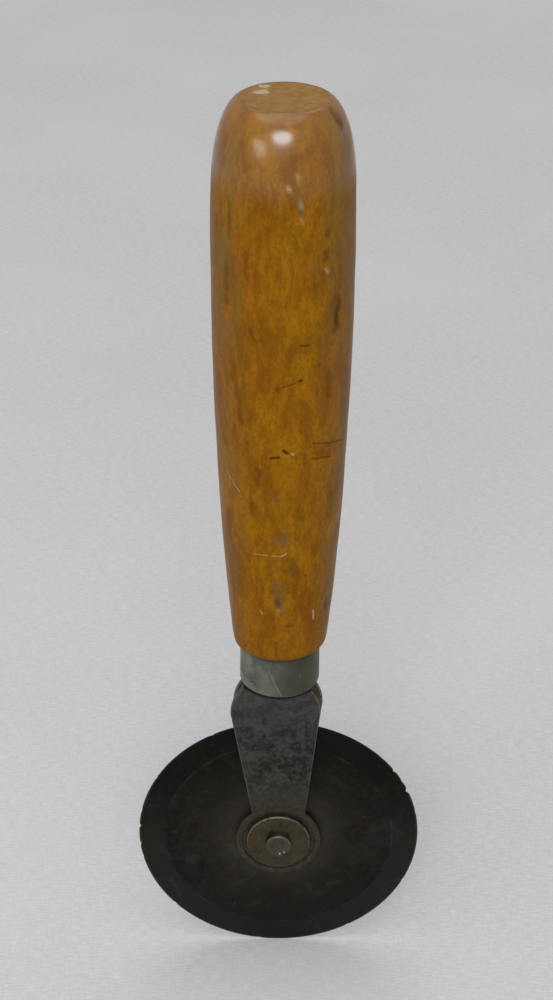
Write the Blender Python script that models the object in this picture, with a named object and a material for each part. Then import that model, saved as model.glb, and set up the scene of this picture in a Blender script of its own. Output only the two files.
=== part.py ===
"""Hand wheel cutter: a large plain disc blade that turns between two steel cheeks on a turned wooden handle.

The tool stands on the lowest point of its blade at the origin, with the handle's axis up +Z, the
blade in the XZ plane and its axle along Y. Lengths are in metres.
"""

import math

import bmesh
import bpy
from mathutils import Matrix

# Blade
BLADE_RADIUS = 0.0350
BLADE_THICKNESS = 0.0010
BLADE_BEVEL_WIDTH = 0.0064
BLADE_EDGE_THICKNESS = 0.0001

# Axle, from the centre outwards
AXLE_SHANK_RADIUS = 0.0021
AXLE_SLEEVE_RADIUS = 0.0033
AXLE_HEAD_RADIUS = 0.0032
AXLE_HEAD_HEIGHT = 0.0015
AXLE_HEAD_ROUNDING = 0.0005
AXLE_TAIL_RADIUS = 0.0036
AXLE_TAIL_HEIGHT = 0.0011
THRUST_WASHER_RADIUS = 0.0065
THRUST_WASHER_THICKNESS = 0.0004
AXLE_WASHER_RADIUS = 0.0080
AXLE_WASHER_THICKNESS = 0.0010
AXLE_WASHER_ROUNDING = 0.0003

# Cheeks
CHEEK_THICKNESS = 0.0013
EYE_RADIUS = 0.0106
EYE_RECESS_RADIUS = 0.0091
EYE_RECESS_DEPTH = 0.0004
ARM_FOOT_HALF_WIDTH = 0.0066
SHOULDER_HALF_WIDTH = 0.0108
SHOULDER_BELOW_FERRULE = 0.0096
SHOULDER_ROUNDING = 0.0110
SHOULDER_SWEEP = math.radians(36.0)
SHOULDER_LEAN = 0.0004
TAIL_HALF_WIDTH = 0.0040
TAIL_ABOVE_FERRULE_MOUTH = 0.0360

# Tang, the bar that holds the cheeks apart and is driven into the wood
TANG_THICKNESS = 0.0033
TANG_BELOW_FERRULE_MOUTH = 0.0050
TANG_SPIKE_LENGTH = 0.0280
TANG_TIP_HALF_WIDTH = 0.0006
TANG_RIVET_RADIUS = 0.0012
TANG_RIVET_HEIGHTS = (0.0150, 0.0280)

# Ferrule and handle
FERRULE_ABOVE_BLADE = 0.0141
FERRULE_RADIUS = 0.0095
FERRULE_WALL = 0.0008
FERRULE_LENGTH = 0.0109
FERRULE_CHAMFER = 0.0003
TENON_SHORT_OF_MOUTH = 0.0009
HANDLE_LENGTH = 0.1335
HANDLE_PROUD_OF_FERRULE = 0.0015
HANDLE_BASE_ROUNDING = 0.0013
HANDLE_BELLY_RADIUS = 0.0155
HANDLE_BELLY_ABOVE_BASE = 0.0970
HANDLE_SWELL = 0.86
HANDLE_BUTT_RADIUS = 0.0093
HANDLE_SHOULDER_LENGTH = 0.0190
HANDLE_SHOULDER_DROP = 0.00025
BRAD_HEAD_RADIUS = 0.0006
BRAD_HEAD_THICKNESS = 0.0004
BRAD_SHANK_RADIUS = 0.0004
BRAD_SHORT_OF_BORE = 0.0012
BRAD_ABOVE_FERRULE_MOUTH = 0.0023
BRAD_TURN_FROM_FRONT = math.radians(-42.0)

# Clearances
TURNING_GAP = 0.0002
RESTING_GAP = 0.0002
FITTED_GAP = 0.0002
CUTTER_OVERRUN = 0.001

# Facets
HANDLE_SEGMENTS = 48
ROUND_SEGMENTS = 32
BLADE_SEGMENTS = 96
BODY_STATIONS = 10
SHOULDER_STATIONS = 6
EYE_STEPS = 16
ARC_STEPS = 4

# Places worked out from the sizes above
AXLE_HEIGHT = BLADE_RADIUS
FERRULE_MOUTH = AXLE_HEIGHT + BLADE_RADIUS + FERRULE_ABOVE_BLADE
HANDLE_BASE = FERRULE_MOUTH + FERRULE_LENGTH + RESTING_GAP
HANDLE_BUTT = HANDLE_BASE + HANDLE_LENGTH
HANDLE_BASE_RADIUS = FERRULE_RADIUS + HANDLE_PROUD_OF_FERRULE
FERRULE_BORE_RADIUS = FERRULE_RADIUS - FERRULE_WALL
TENON_RADIUS = FERRULE_BORE_RADIUS - FITTED_GAP
EYE_INNER_FACE = BLADE_THICKNESS / 2 + 2 * TURNING_GAP + THRUST_WASHER_THICKNESS
EYE_OUTER_FACE = EYE_INNER_FACE + CHEEK_THICKNESS
NECK_INNER_FACE = TANG_THICKNESS / 2 + RESTING_GAP
NECK_OUTER_FACE = NECK_INNER_FACE + CHEEK_THICKNESS
WASHER_INNER_FACE = EYE_OUTER_FACE - EYE_RECESS_DEPTH + RESTING_GAP
WASHER_OUTER_FACE = WASHER_INNER_FACE + AXLE_WASHER_THICKNESS
AXLE_HEAD_FACE = WASHER_OUTER_FACE + RESTING_GAP
SLEEVE_BORE_RADIUS = AXLE_SHANK_RADIUS + FITTED_GAP
BLADE_BORE_RADIUS = AXLE_SLEEVE_RADIUS + TURNING_GAP
SHOULDER_HEIGHT = FERRULE_MOUTH - SHOULDER_BELOW_FERRULE
TAIL_TOP = FERRULE_MOUTH + TAIL_ABOVE_FERRULE_MOUTH
TANG_BORE_RADIUS = math.hypot(TAIL_HALF_WIDTH, NECK_OUTER_FACE) + FITTED_GAP
SPIKE_BORE_RADIUS = math.hypot(TANG_THICKNESS, TANG_THICKNESS) / 2 + FITTED_GAP
BRAD_LENGTH = FERRULE_RADIUS - TANG_BORE_RADIUS - BRAD_SHORT_OF_BORE
NECK_HALF_WIDTH = math.sqrt(FERRULE_BORE_RADIUS**2 - NECK_OUTER_FACE**2) - FITTED_GAP

# What is made for the front is turned half round for the rear
SIDES = (("front", (0.0, 0.0, 0.0)), ("rear", (0.0, 0.0, math.pi)))


def clear_scene():
    for item in list(bpy.data.objects):
        bpy.data.objects.remove(item)


def make_material(name, colour, roughness, metallic):
    made = bpy.data.materials.new(name)
    made.use_nodes = True
    shader = made.node_tree.nodes["Principled BSDF"]
    shader.inputs["Base Color"].default_value = (*colour, 1.0)
    shader.inputs["Roughness"].default_value = roughness
    shader.inputs["Metallic"].default_value = metallic
    return made


def add_object(name, mesh_maker, material, place=(0.0, 0.0, 0.0), turn=(0.0, 0.0, 0.0)):
    """Links a named object whose mesh is filled in by mesh_maker."""
    mesh = bpy.data.meshes.new(name)
    shape = bmesh.new()
    mesh_maker(shape)
    shape.to_mesh(mesh)
    shape.free()
    made = bpy.data.objects.new(name, mesh)
    bpy.context.scene.collection.objects.link(made)
    if material:
        mesh.materials.append(material)
    made.location = place
    made.rotation_euler = turn
    return made


def shade_round(*objects):
    for item in objects:
        item.data.shade_smooth()
        item.data.set_sharp_from_angle(angle=math.radians(30))


def turn_profile(shape, profile, axis, segments):
    """Spins a profile of (radius, distance along the axis) pairs into one closed body.

    A profile that starts and ends at radius 0 closes on the axis; any other is joined end to end.
    """
    points = [(radius, 0.0, along) if axis == "Z" else (radius, along, 0.0) for radius, along in profile]
    corners = [shape.verts.new(point) for point in points]
    edges = [shape.edges.new(pair) for pair in zip(corners, corners[1:])]
    if profile[0][0] > 0.0:
        edges.append(shape.edges.new((corners[-1], corners[0])))
    bmesh.ops.spin(
        shape,
        geom=corners + edges,
        cent=(0.0, 0.0, 0.0),
        axis=(0.0, 0.0, 1.0) if axis == "Z" else (0.0, 1.0, 0.0),
        angle=2 * math.pi,
        steps=segments,
        use_merge=True,
    )
    bmesh.ops.remove_doubles(shape, verts=shape.verts, dist=1e-6)
    bmesh.ops.recalc_face_normals(shape, faces=shape.faces)


def ring_profile(inner, outer, low, high):
    return [(inner, low), (outer, low), (outer, high), (inner, high)]


def extrude_outline(shape, outline, low, high):
    """Fills an (x, z) outline and gives it thickness along Y from low to high."""
    corners = [shape.verts.new((x, low, z)) for x, z in outline]
    face = shape.faces.new(corners)
    grown = bmesh.ops.extrude_face_region(shape, geom=[face])["geom"]
    moved = [item for item in grown if isinstance(item, bmesh.types.BMVert)]
    bmesh.ops.translate(shape, verts=moved, vec=(0.0, high - low, 0.0))
    bmesh.ops.recalc_face_normals(shape, faces=shape.faces)


def cut_holes(target, name, mesh_maker, turn=(0.0, 0.0, 0.0)):
    """Cuts target with a hidden tool body."""
    tool = add_object(name, mesh_maker, None, turn=turn)
    tool.display_type = "WIRE"
    tool.hide_render = True
    cut = target.modifiers.new(name, "BOOLEAN")
    cut.operation = "DIFFERENCE"
    cut.solver = "EXACT"
    cut.object = tool


def add_rod(shape, radius, start, end, segments, centre=(0.0, 0.0, 0.0)):
    """A plain rod along Y from start to end, through centre."""
    place = Matrix.Translation((centre[0], (start + end) / 2, centre[2]))
    bmesh.ops.create_cone(
        shape,
        cap_ends=True,
        segments=segments,
        radius1=radius,
        radius2=radius,
        depth=end - start,
        matrix=place @ Matrix.Rotation(math.pi / 2, 4, "X"),
    )


def handle_outer_profile():
    """The handle's outside from its base, up over the belly to the flat butt."""
    rounding = [
        (
            HANDLE_BASE_RADIUS - HANDLE_BASE_ROUNDING * (1 - math.sin(math.pi / 2 * step / ARC_STEPS)),
            HANDLE_BASE + HANDLE_BASE_ROUNDING * (1 - math.cos(math.pi / 2 * step / ARC_STEPS)),
        )
        for step in range(ARC_STEPS + 1)
    ]
    belly = HANDLE_BASE + HANDLE_BELLY_ABOVE_BASE
    shoulder = HANDLE_BUTT - HANDLE_SHOULDER_LENGTH
    start = HANDLE_BASE + HANDLE_BASE_ROUNDING
    body = []
    for step in range(1, BODY_STATIONS + 1):
        height = start + (shoulder - start) * step / BODY_STATIONS
        body.append((body_radius(height, start, belly, shoulder), height))
    top = []
    for step in range(1, SHOULDER_STATIONS + 1):
        swing = math.pi / 2 * step / SHOULDER_STATIONS
        height = shoulder + HANDLE_SHOULDER_LENGTH * math.sin(swing)
        reach = body[-1][0] - HANDLE_BUTT_RADIUS
        top.append((HANDLE_BUTT_RADIUS + reach * math.cos(swing), height))
    return rounding + body + top


def body_radius(height, start, belly, shoulder):
    """A quarter sine swell from the base to the belly, then a slight fall to the shoulder."""
    if height < belly:
        rise = math.sin(math.pi / 2 * ((height - start) / (belly - start)) ** HANDLE_SWELL)
        return HANDLE_BASE_RADIUS + (HANDLE_BELLY_RADIUS - HANDLE_BASE_RADIUS) * rise
    fall = (height - belly) / (shoulder - belly)
    return HANDLE_BELLY_RADIUS - HANDLE_SHOULDER_DROP * fall**2


def handle_mesh(shape):
    """The turned wood with its tenon and the stepped bore for the tails and the tang's spike."""
    tenon_end = FERRULE_MOUTH + TENON_SHORT_OF_MOUTH
    bore_end = TAIL_TOP + FITTED_GAP
    spike_end = TAIL_TOP + TANG_SPIKE_LENGTH + FITTED_GAP
    bore = [
        (0.0, spike_end),
        (SPIKE_BORE_RADIUS, spike_end),
        (SPIKE_BORE_RADIUS, bore_end),
        (TANG_BORE_RADIUS, bore_end),
        (TANG_BORE_RADIUS, tenon_end),
        (TENON_RADIUS, tenon_end),
        (TENON_RADIUS, HANDLE_BASE),
    ]
    turn_profile(shape, bore + handle_outer_profile() + [(0.0, HANDLE_BUTT)], "Z", HANDLE_SEGMENTS)


def ferrule_mesh(shape):
    """A short steel tube with chamfered outer rims."""
    top = FERRULE_MOUTH + FERRULE_LENGTH
    profile = [
        (FERRULE_BORE_RADIUS, FERRULE_MOUTH),
        (FERRULE_RADIUS - FERRULE_CHAMFER, FERRULE_MOUTH),
        (FERRULE_RADIUS, FERRULE_MOUTH + FERRULE_CHAMFER),
        (FERRULE_RADIUS, top - FERRULE_CHAMFER),
        (FERRULE_RADIUS - FERRULE_CHAMFER, top),
        (FERRULE_BORE_RADIUS, top),
    ]
    turn_profile(shape, profile, "Z", HANDLE_SEGMENTS)


def cheek_outline():
    """One cheek seen from outside: round eye, tapering arm, rounded shoulders, neck and tail."""
    foot_height = math.sqrt(EYE_RADIUS**2 - ARM_FOOT_HALF_WIDTH**2)
    foot_angle = math.atan2(foot_height, ARM_FOOT_HALF_WIDTH)
    side = []
    for step in range(EYE_STEPS + 1):
        angle = -math.pi / 2 + (foot_angle + math.pi / 2) * step / EYE_STEPS
        side.append((EYE_RADIUS * math.cos(angle), AXLE_HEIGHT + EYE_RADIUS * math.sin(angle)))
    for step in range(ARC_STEPS + 1):
        angle = SHOULDER_SWEEP * step / ARC_STEPS
        side.append(
            (
                SHOULDER_HALF_WIDTH - SHOULDER_ROUNDING * (1 - math.cos(angle)),
                SHOULDER_HEIGHT + SHOULDER_ROUNDING * math.sin(angle),
            )
        )
    step_height = FERRULE_MOUTH + TENON_SHORT_OF_MOUTH - RESTING_GAP
    side += [
        (NECK_HALF_WIDTH, FERRULE_MOUTH),
        (NECK_HALF_WIDTH, step_height),
        (TAIL_HALF_WIDTH, step_height),
        (TAIL_HALF_WIDTH, TAIL_TOP),
    ]
    outline = side + [(-x, z) for x, z in reversed(side[1:])]
    foot = AXLE_HEIGHT + foot_height
    return [(x - shoulder_lean(z, foot), z) for x, z in outline]


def shoulder_lean(height, foot):
    """How far the stamping's middle line stands off, most at the shoulders, nothing at eye and neck."""
    rise = (height - foot) / (SHOULDER_HEIGHT - foot)
    fall = (FERRULE_MOUTH - height) / SHOULDER_BELOW_FERRULE
    return SHOULDER_LEAN * max(0.0, min(rise, fall))


def cheek_mesh(shape):
    """The front cheek's plate, with a slight set between its eye and its neck."""
    extrude_outline(shape, cheek_outline(), -EYE_OUTER_FACE, -EYE_INNER_FACE)
    bend_start = AXLE_HEIGHT + EYE_RADIUS
    bend_end = SHOULDER_HEIGHT
    for height in (bend_start, bend_end):
        bmesh.ops.bisect_plane(
            shape,
            geom=shape.verts[:] + shape.edges[:] + shape.faces[:],
            plane_co=(0.0, 0.0, height),
            plane_no=(0.0, 0.0, 1.0),
        )
    for corner in shape.verts:
        share = min(max((corner.co.z - bend_start) / (bend_end - bend_start), 0.0), 1.0)
        corner.co.y -= (NECK_INNER_FACE - EYE_INNER_FACE) * share
    bmesh.ops.recalc_face_normals(shape, faces=shape.faces)


def cheek_tool_mesh(shape):
    """What is cut from the cheek: the axle hole, the shallow recess round it and the rivet holes."""
    outside = -EYE_OUTER_FACE - CUTTER_OVERRUN
    inside = -EYE_INNER_FACE + CUTTER_OVERRUN
    floor = -EYE_OUTER_FACE + EYE_RECESS_DEPTH
    profile = [
        (0.0, inside),
        (SLEEVE_BORE_RADIUS, inside),
        (SLEEVE_BORE_RADIUS, floor),
        (EYE_RECESS_RADIUS, floor),
        (EYE_RECESS_RADIUS, outside),
        (0.0, outside),
    ]
    turn_profile(shape, profile, "Y", ROUND_SEGMENTS)
    bmesh.ops.translate(shape, verts=shape.verts, vec=(0.0, 0.0, AXLE_HEIGHT))
    rivet_hole_mesh(shape)


def rivet_hole_mesh(shape):
    reach = NECK_OUTER_FACE + CUTTER_OVERRUN
    for height in TANG_RIVET_HEIGHTS:
        add_rod(
            shape,
            TANG_RIVET_RADIUS + FITTED_GAP,
            -reach,
            reach,
            ROUND_SEGMENTS // 2,
            (0.0, 0.0, FERRULE_MOUTH + height),
        )


def tang_mesh(shape):
    """A flat bar between the tails that ends in a driven spike."""
    bottom = FERRULE_MOUTH - TANG_BELOW_FERRULE_MOUTH
    spike_half_width = TANG_THICKNESS / 2
    side = [
        (TAIL_HALF_WIDTH, bottom),
        (TAIL_HALF_WIDTH, TAIL_TOP),
        (spike_half_width, TAIL_TOP),
        (TANG_TIP_HALF_WIDTH, TAIL_TOP + TANG_SPIKE_LENGTH),
    ]
    outline = side + [(-x, z) for x, z in reversed(side)]
    extrude_outline(shape, outline, -TANG_THICKNESS / 2, TANG_THICKNESS / 2)


def tang_rivet_mesh(shape):
    add_rod(shape, TANG_RIVET_RADIUS, -NECK_OUTER_FACE, NECK_OUTER_FACE, ROUND_SEGMENTS // 2)


def brad_profile():
    """The brad along its own axis: shank tip at 0, head at the end that shows."""
    shank = BRAD_LENGTH - BRAD_HEAD_THICKNESS
    return [
        (0.0, 0.0),
        (BRAD_SHANK_RADIUS, 0.0),
        (BRAD_SHANK_RADIUS, shank),
        (BRAD_HEAD_RADIUS, shank),
        (BRAD_HEAD_RADIUS, BRAD_LENGTH),
        (0.0, BRAD_LENGTH),
    ]


def brad_tool_profile():
    """The stepped hole that the brad fills, open at the ferrule's surface."""
    shank = BRAD_LENGTH - BRAD_HEAD_THICKNESS
    hole = BRAD_SHANK_RADIUS + RESTING_GAP
    seat = BRAD_HEAD_RADIUS + RESTING_GAP
    return [
        (0.0, -RESTING_GAP),
        (hole, -RESTING_GAP),
        (hole, shank - RESTING_GAP),
        (seat, shank - RESTING_GAP),
        (seat, BRAD_LENGTH + CUTTER_OVERRUN),
        (0.0, BRAD_LENGTH + CUTTER_OVERRUN),
    ]


def place_on_ferrule(shape):
    """Moves a body made along +Y so that it points outwards through the ferrule's wall."""
    root = FERRULE_RADIUS - BRAD_LENGTH
    bmesh.ops.translate(shape, verts=shape.verts, vec=(0.0, root, FERRULE_MOUTH + BRAD_ABOVE_FERRULE_MOUTH))
    turn = Matrix.Rotation(math.pi + BRAD_TURN_FROM_FRONT, 4, "Z")
    bmesh.ops.transform(shape, matrix=turn, verts=shape.verts)


def brad_mesh(shape):
    turn_profile(shape, brad_profile(), "Y", ROUND_SEGMENTS // 3)
    place_on_ferrule(shape)


def brad_tool_mesh(shape):
    turn_profile(shape, brad_tool_profile(), "Y", ROUND_SEGMENTS // 3)
    place_on_ferrule(shape)


def blade_mesh(shape):
    """A flat disc ground on both sides to a thin edge, with a plain centre hole."""
    half = BLADE_THICKNESS / 2
    edge = BLADE_EDGE_THICKNESS / 2
    flat_radius = BLADE_RADIUS - BLADE_BEVEL_WIDTH
    profile = [
        (BLADE_BORE_RADIUS, -half),
        (flat_radius, -half),
        (BLADE_RADIUS, -edge),
        (BLADE_RADIUS, edge),
        (flat_radius, half),
        (BLADE_BORE_RADIUS, half),
    ]
    turn_profile(shape, profile, "Y", BLADE_SEGMENTS)


def axle_rivet_mesh(shape):
    """The rivet that is the axle: a made head in front and an upset tail behind."""
    head_end = AXLE_HEAD_FACE + AXLE_HEAD_HEIGHT
    tail_end = AXLE_HEAD_FACE + AXLE_TAIL_HEIGHT
    head = [
        (
            AXLE_HEAD_RADIUS - AXLE_HEAD_ROUNDING * (1 - math.cos(math.pi / 2 * step / ARC_STEPS)),
            -head_end + AXLE_HEAD_ROUNDING * (1 - math.sin(math.pi / 2 * step / ARC_STEPS)),
        )
        for step in range(ARC_STEPS + 1)
    ]
    tail = [
        (
            AXLE_TAIL_RADIUS * math.cos(math.pi / 2 * step / ARC_STEPS),
            AXLE_HEAD_FACE + (tail_end - AXLE_HEAD_FACE) * math.sin(math.pi / 2 * step / ARC_STEPS),
        )
        for step in range(ARC_STEPS)
    ]
    profile = [
        (0.0, -head_end),
        *reversed(head),
        (AXLE_HEAD_RADIUS, -AXLE_HEAD_FACE),
        (AXLE_SHANK_RADIUS, -AXLE_HEAD_FACE),
        (AXLE_SHANK_RADIUS, AXLE_HEAD_FACE),
        *tail,
        (0.0, tail_end),
    ]
    turn_profile(shape, profile, "Y", ROUND_SEGMENTS)


def axle_sleeve_mesh(shape):
    reach = EYE_INNER_FACE - RESTING_GAP
    profile = ring_profile(SLEEVE_BORE_RADIUS, AXLE_SLEEVE_RADIUS, -reach, reach)
    turn_profile(shape, profile, "Y", ROUND_SEGMENTS)


def thrust_washer_mesh(shape):
    inner_face = -BLADE_THICKNESS / 2 - TURNING_GAP
    outer_face = inner_face - THRUST_WASHER_THICKNESS
    profile = ring_profile(BLADE_BORE_RADIUS, THRUST_WASHER_RADIUS, inner_face, outer_face)
    turn_profile(shape, profile, "Y", ROUND_SEGMENTS)


def axle_washer_mesh(shape):
    """A washer whose outer edge is rounded on the side that shows."""
    rounding = AXLE_WASHER_ROUNDING
    edge = []
    for step in range(ARC_STEPS + 1):
        swing = math.pi / 2 * step / ARC_STEPS
        reach = AXLE_WASHER_RADIUS - rounding * (1 - math.sin(swing))
        edge.append((reach, -WASHER_OUTER_FACE + rounding * (1 - math.cos(swing))))
    profile = [
        (SLEEVE_BORE_RADIUS, -WASHER_INNER_FACE),
        (SLEEVE_BORE_RADIUS, -WASHER_OUTER_FACE),
        *edge,
        (AXLE_WASHER_RADIUS, -WASHER_INNER_FACE),
    ]
    turn_profile(shape, profile, "Y", ROUND_SEGMENTS)


def build_handle(wood, ferrule_steel, bright_steel):
    handle = add_object("handle", handle_mesh, wood)
    ferrule = add_object("ferrule", ferrule_mesh, ferrule_steel)
    brad = add_object("ferrule_brad", brad_mesh, bright_steel)
    for target in (handle, ferrule):
        cut_holes(target, target.name + "_brad_hole", brad_tool_mesh)
    shade_round(handle, ferrule, brad)


def build_fork(cheek_steel, bright_steel):
    """Both cheeks are the same stamping: the rear one is the front one turned round."""
    tang = add_object("tang", tang_mesh, bright_steel)
    cut_holes(tang, "tang_rivet_holes", rivet_hole_mesh)
    for name, height in zip(("lower_tang_rivet", "upper_tang_rivet"), TANG_RIVET_HEIGHTS):
        place = (0.0, 0.0, FERRULE_MOUTH + height)
        shade_round(add_object(name, tang_rivet_mesh, bright_steel, place))
    for side, turn in SIDES:
        cheek = add_object(side + "_cheek", cheek_mesh, cheek_steel, turn=turn)
        cut_holes(cheek, side + "_cheek_holes", cheek_tool_mesh, turn=turn)
        shade_round(cheek)


def build_axle(rusty_steel, bright_steel):
    centre = (0.0, 0.0, AXLE_HEIGHT)
    shade_round(
        add_object("axle_rivet", axle_rivet_mesh, rusty_steel, centre),
        add_object("axle_sleeve", axle_sleeve_mesh, bright_steel, centre),
    )
    for side, turn in SIDES:
        shade_round(
            add_object(side + "_axle_washer", axle_washer_mesh, rusty_steel, centre, turn),
            add_object(side + "_thrust_washer", thrust_washer_mesh, bright_steel, centre, turn),
        )


def build_blade(blade_steel):
    """The blade's own origin is on the axle's axis, which it turns about."""
    shade_round(add_object("blade", blade_mesh, blade_steel, (0.0, 0.0, AXLE_HEIGHT)))


def main():
    clear_scene()
    wood = make_material("varnished_wood", (0.42, 0.21, 0.045), 0.35, 0.0)
    ferrule_steel = make_material("ferrule_steel", (0.20, 0.21, 0.20), 0.45, 0.9)
    cheek_steel = make_material("cheek_steel", (0.13, 0.13, 0.135), 0.5, 0.9)
    blade_steel = make_material("blade_steel", (0.025, 0.025, 0.027), 0.45, 0.8)
    rusty_steel = make_material("axle_steel", (0.09, 0.07, 0.05), 0.55, 0.8)
    bright_steel = make_material("inner_steel", (0.35, 0.34, 0.33), 0.4, 0.9)
    build_handle(wood, ferrule_steel, bright_steel)
    build_fork(cheek_steel, bright_steel)
    build_axle(rusty_steel, bright_steel)
    build_blade(blade_steel)


main()
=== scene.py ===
import math

import bmesh
import bpy
from mathutils import Matrix, Vector
from mathutils.noise import noise as noise_at


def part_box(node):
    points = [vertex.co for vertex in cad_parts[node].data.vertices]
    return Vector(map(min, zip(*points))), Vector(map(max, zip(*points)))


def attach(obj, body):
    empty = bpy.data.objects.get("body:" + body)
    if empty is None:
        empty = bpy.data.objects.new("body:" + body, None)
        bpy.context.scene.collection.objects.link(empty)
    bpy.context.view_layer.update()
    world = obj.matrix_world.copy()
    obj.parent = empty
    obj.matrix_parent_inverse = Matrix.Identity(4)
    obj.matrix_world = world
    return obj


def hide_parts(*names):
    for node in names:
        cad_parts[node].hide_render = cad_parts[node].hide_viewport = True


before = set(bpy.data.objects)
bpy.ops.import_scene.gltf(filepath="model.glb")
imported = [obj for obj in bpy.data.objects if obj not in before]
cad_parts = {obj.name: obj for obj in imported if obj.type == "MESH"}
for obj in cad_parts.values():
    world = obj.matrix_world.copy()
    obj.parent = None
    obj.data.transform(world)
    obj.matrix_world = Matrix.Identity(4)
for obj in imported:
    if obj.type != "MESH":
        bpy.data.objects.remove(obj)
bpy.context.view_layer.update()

MM = 0.001

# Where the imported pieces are, from which every new piece takes its place
BLADE_LOW, BLADE_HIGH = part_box("blade")
FERRULE_LOW, FERRULE_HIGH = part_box("ferrule")
TAIL_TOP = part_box("front_cheek")[1].z
SPIKE_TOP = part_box("tang")[1].z
HANDLE_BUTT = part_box("handle")[1].z

# Room between the solids of pieces that touch, and between their visual twins
CLOSE_FIT = 0.2 * MM
HAIR = 0.03 * MM

BLADE_RADIUS = (BLADE_HIGH.z - BLADE_LOW.z) / 2
BEVEL_START = BLADE_RADIUS - 6.4 * MM
AXLE = Vector((0.0, 0.0, (BLADE_HIGH.z + BLADE_LOW.z) / 2))
AXLE_HOLE_RADIUS = 2.3 * MM

MOUTH = FERRULE_LOW.z
FERRULE_RADIUS = FERRULE_HIGH.x
FERRULE_TOP = FERRULE_HIGH.z

HANDLE_BASE = FERRULE_TOP + CLOSE_FIT
BASE_ROUNDING = 1.3 * MM
BASE_RADIUS = 11.0 * MM
BELLY_RADIUS = 15.5 * MM
BUTT_RADIUS = 8.9 * MM
SHOULDER_LENGTH = 19.0 * MM
HANDLE_SHOULDER = HANDLE_BUTT - SHOULDER_LENGTH
SKIN_RADIUS = 13.5 * MM

HALF_CHEEK_GAP = 1.3 * MM
CHEEK_THICKNESS = 1.3 * MM
CHEEK_OUTER = HALF_CHEEK_GAP + CHEEK_THICKNESS
CHEEK_SHOULDER = MOUTH - 9.6 * MM
EYE_RADIUS = 10.6 * MM
SEAT_DEPTH = 0.4 * MM
NECK_SET = 0.55 * MM
WASHER_FACE = CHEEK_OUTER + 0.8 * MM


# ---------------------------------------------------------------------------
# Camera, floor and lights


def aim_at(item, target):
    item.rotation_euler = (Vector(target) - item.location).to_track_quat("-Z", "Y").to_euler()


def place_camera():
    """In front of the tool, looking down on it, with a hair of roll."""
    down = math.radians(30.8)
    roll = math.radians(0.38)
    turn = Matrix.Rotation(math.pi / 2 - down, 3, "X") @ Matrix.Rotation(roll, 3, "Z")
    bpy.ops.object.camera_add(location=(-1.03 * MM, -408.8 * MM, 376.5 * MM), rotation=turn.to_euler())
    camera = bpy.context.object
    camera.name = "front_camera"
    camera.data.sensor_fit = "VERTICAL"
    camera.data.sensor_height = 36.0
    camera.data.lens = 75.2
    camera.data.clip_start = 0.02
    camera.data.clip_end = 20.0
    bpy.context.scene.camera = camera


def add_softbox(name, place, target, width, height, power, colour):
    bpy.ops.object.light_add(type="AREA", location=place)
    lamp = bpy.context.object
    lamp.name = name
    aim_at(lamp, target)
    lamp.data.shape = "ELLIPSE"
    lamp.data.size = width
    lamp.data.size_y = height
    lamp.data.energy = power
    lamp.data.color = colour


def light_studio():
    """A lamp behind and above the camera, a window on the left, two big soft lights and a pale room."""
    middle = (0.0, 0.0, 0.12)
    add_softbox("front_lamp", (-0.10, -1.20, 0.86), middle, 0.80, 0.44, 9.5, (0.84, 0.93, 1.0))
    add_softbox("left_window", (-0.93, -1.00, 0.50), middle, 0.60, 0.30, 1.9, (1.0, 0.97, 0.84))
    add_softbox("top_light", (-0.20, -0.30, 2.40), middle, 2.60, 2.60, 19.0, (1.0, 0.99, 0.98))
    behind = (0.0, 0.85, 0.0)
    add_softbox("rear_light", (0.10, 1.30, 1.70), behind, 1.50, 1.00, 4.4, (1.0, 0.99, 1.0))
    room = bpy.data.worlds.new("pale_room")
    room.use_nodes = True
    background = room.node_tree.nodes["Background"]
    background.inputs["Color"].default_value = (1.0, 0.990, 0.978, 1.0)
    background.inputs["Strength"].default_value = 0.40
    bpy.context.scene.world = room
    bpy.context.scene.view_settings.view_transform = "Standard"


def lay_floor(material):
    bpy.ops.mesh.primitive_plane_add(size=8.0)
    floor = bpy.context.object
    floor.name = "pale_floor"
    floor.data.materials.append(material)


# ---------------------------------------------------------------------------
# Node work


def put(tree, kind, inputs=None, **settings):
    """Adds one node, with its settings, and sets or links its inputs."""
    made = tree.nodes.new(kind)
    for name, value in settings.items():
        setattr(made, name, value)
    for socket, value in (inputs or {}).items():
        if isinstance(value, bpy.types.NodeSocket):
            tree.links.new(value, made.inputs[socket])
        else:
            made.inputs[socket].default_value = value
    return made


def calc(tree, operation, *values, clamp=False):
    inputs = dict(enumerate(values))
    return put(tree, "ShaderNodeMath", inputs, operation=operation, use_clamp=clamp).outputs[0]


def times(tree, first, second):
    return calc(tree, "MULTIPLY", first, second)


def times_plus(tree, first, second, third):
    """First times second, plus third."""
    return calc(tree, "MULTIPLY_ADD", first, second, third)


def plus(tree, first, second):
    return calc(tree, "ADD", first, second)


def minus(tree, first, second):
    return calc(tree, "SUBTRACT", first, second)


def larger(tree, first, second):
    return calc(tree, "MAXIMUM", first, second)


def vector_calc(tree, operation, first, second):
    return put(tree, "ShaderNodeVectorMath", {0: first, 1: second}, operation=operation).outputs[0]


def dot(tree, first, second):
    inputs = {0: first, 1: second}
    return put(tree, "ShaderNodeVectorMath", inputs, operation="DOT_PRODUCT").outputs["Value"]


def length_of(tree, vector):
    return put(tree, "ShaderNodeVectorMath", {0: vector}, operation="LENGTH").outputs["Value"]


def scaled(tree, vector, factor):
    return put(tree, "ShaderNodeVectorMath", {0: vector, "Scale": factor}, operation="SCALE").outputs[0]


def split(tree, vector):
    return put(tree, "ShaderNodeSeparateXYZ", {0: vector}).outputs


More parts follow.
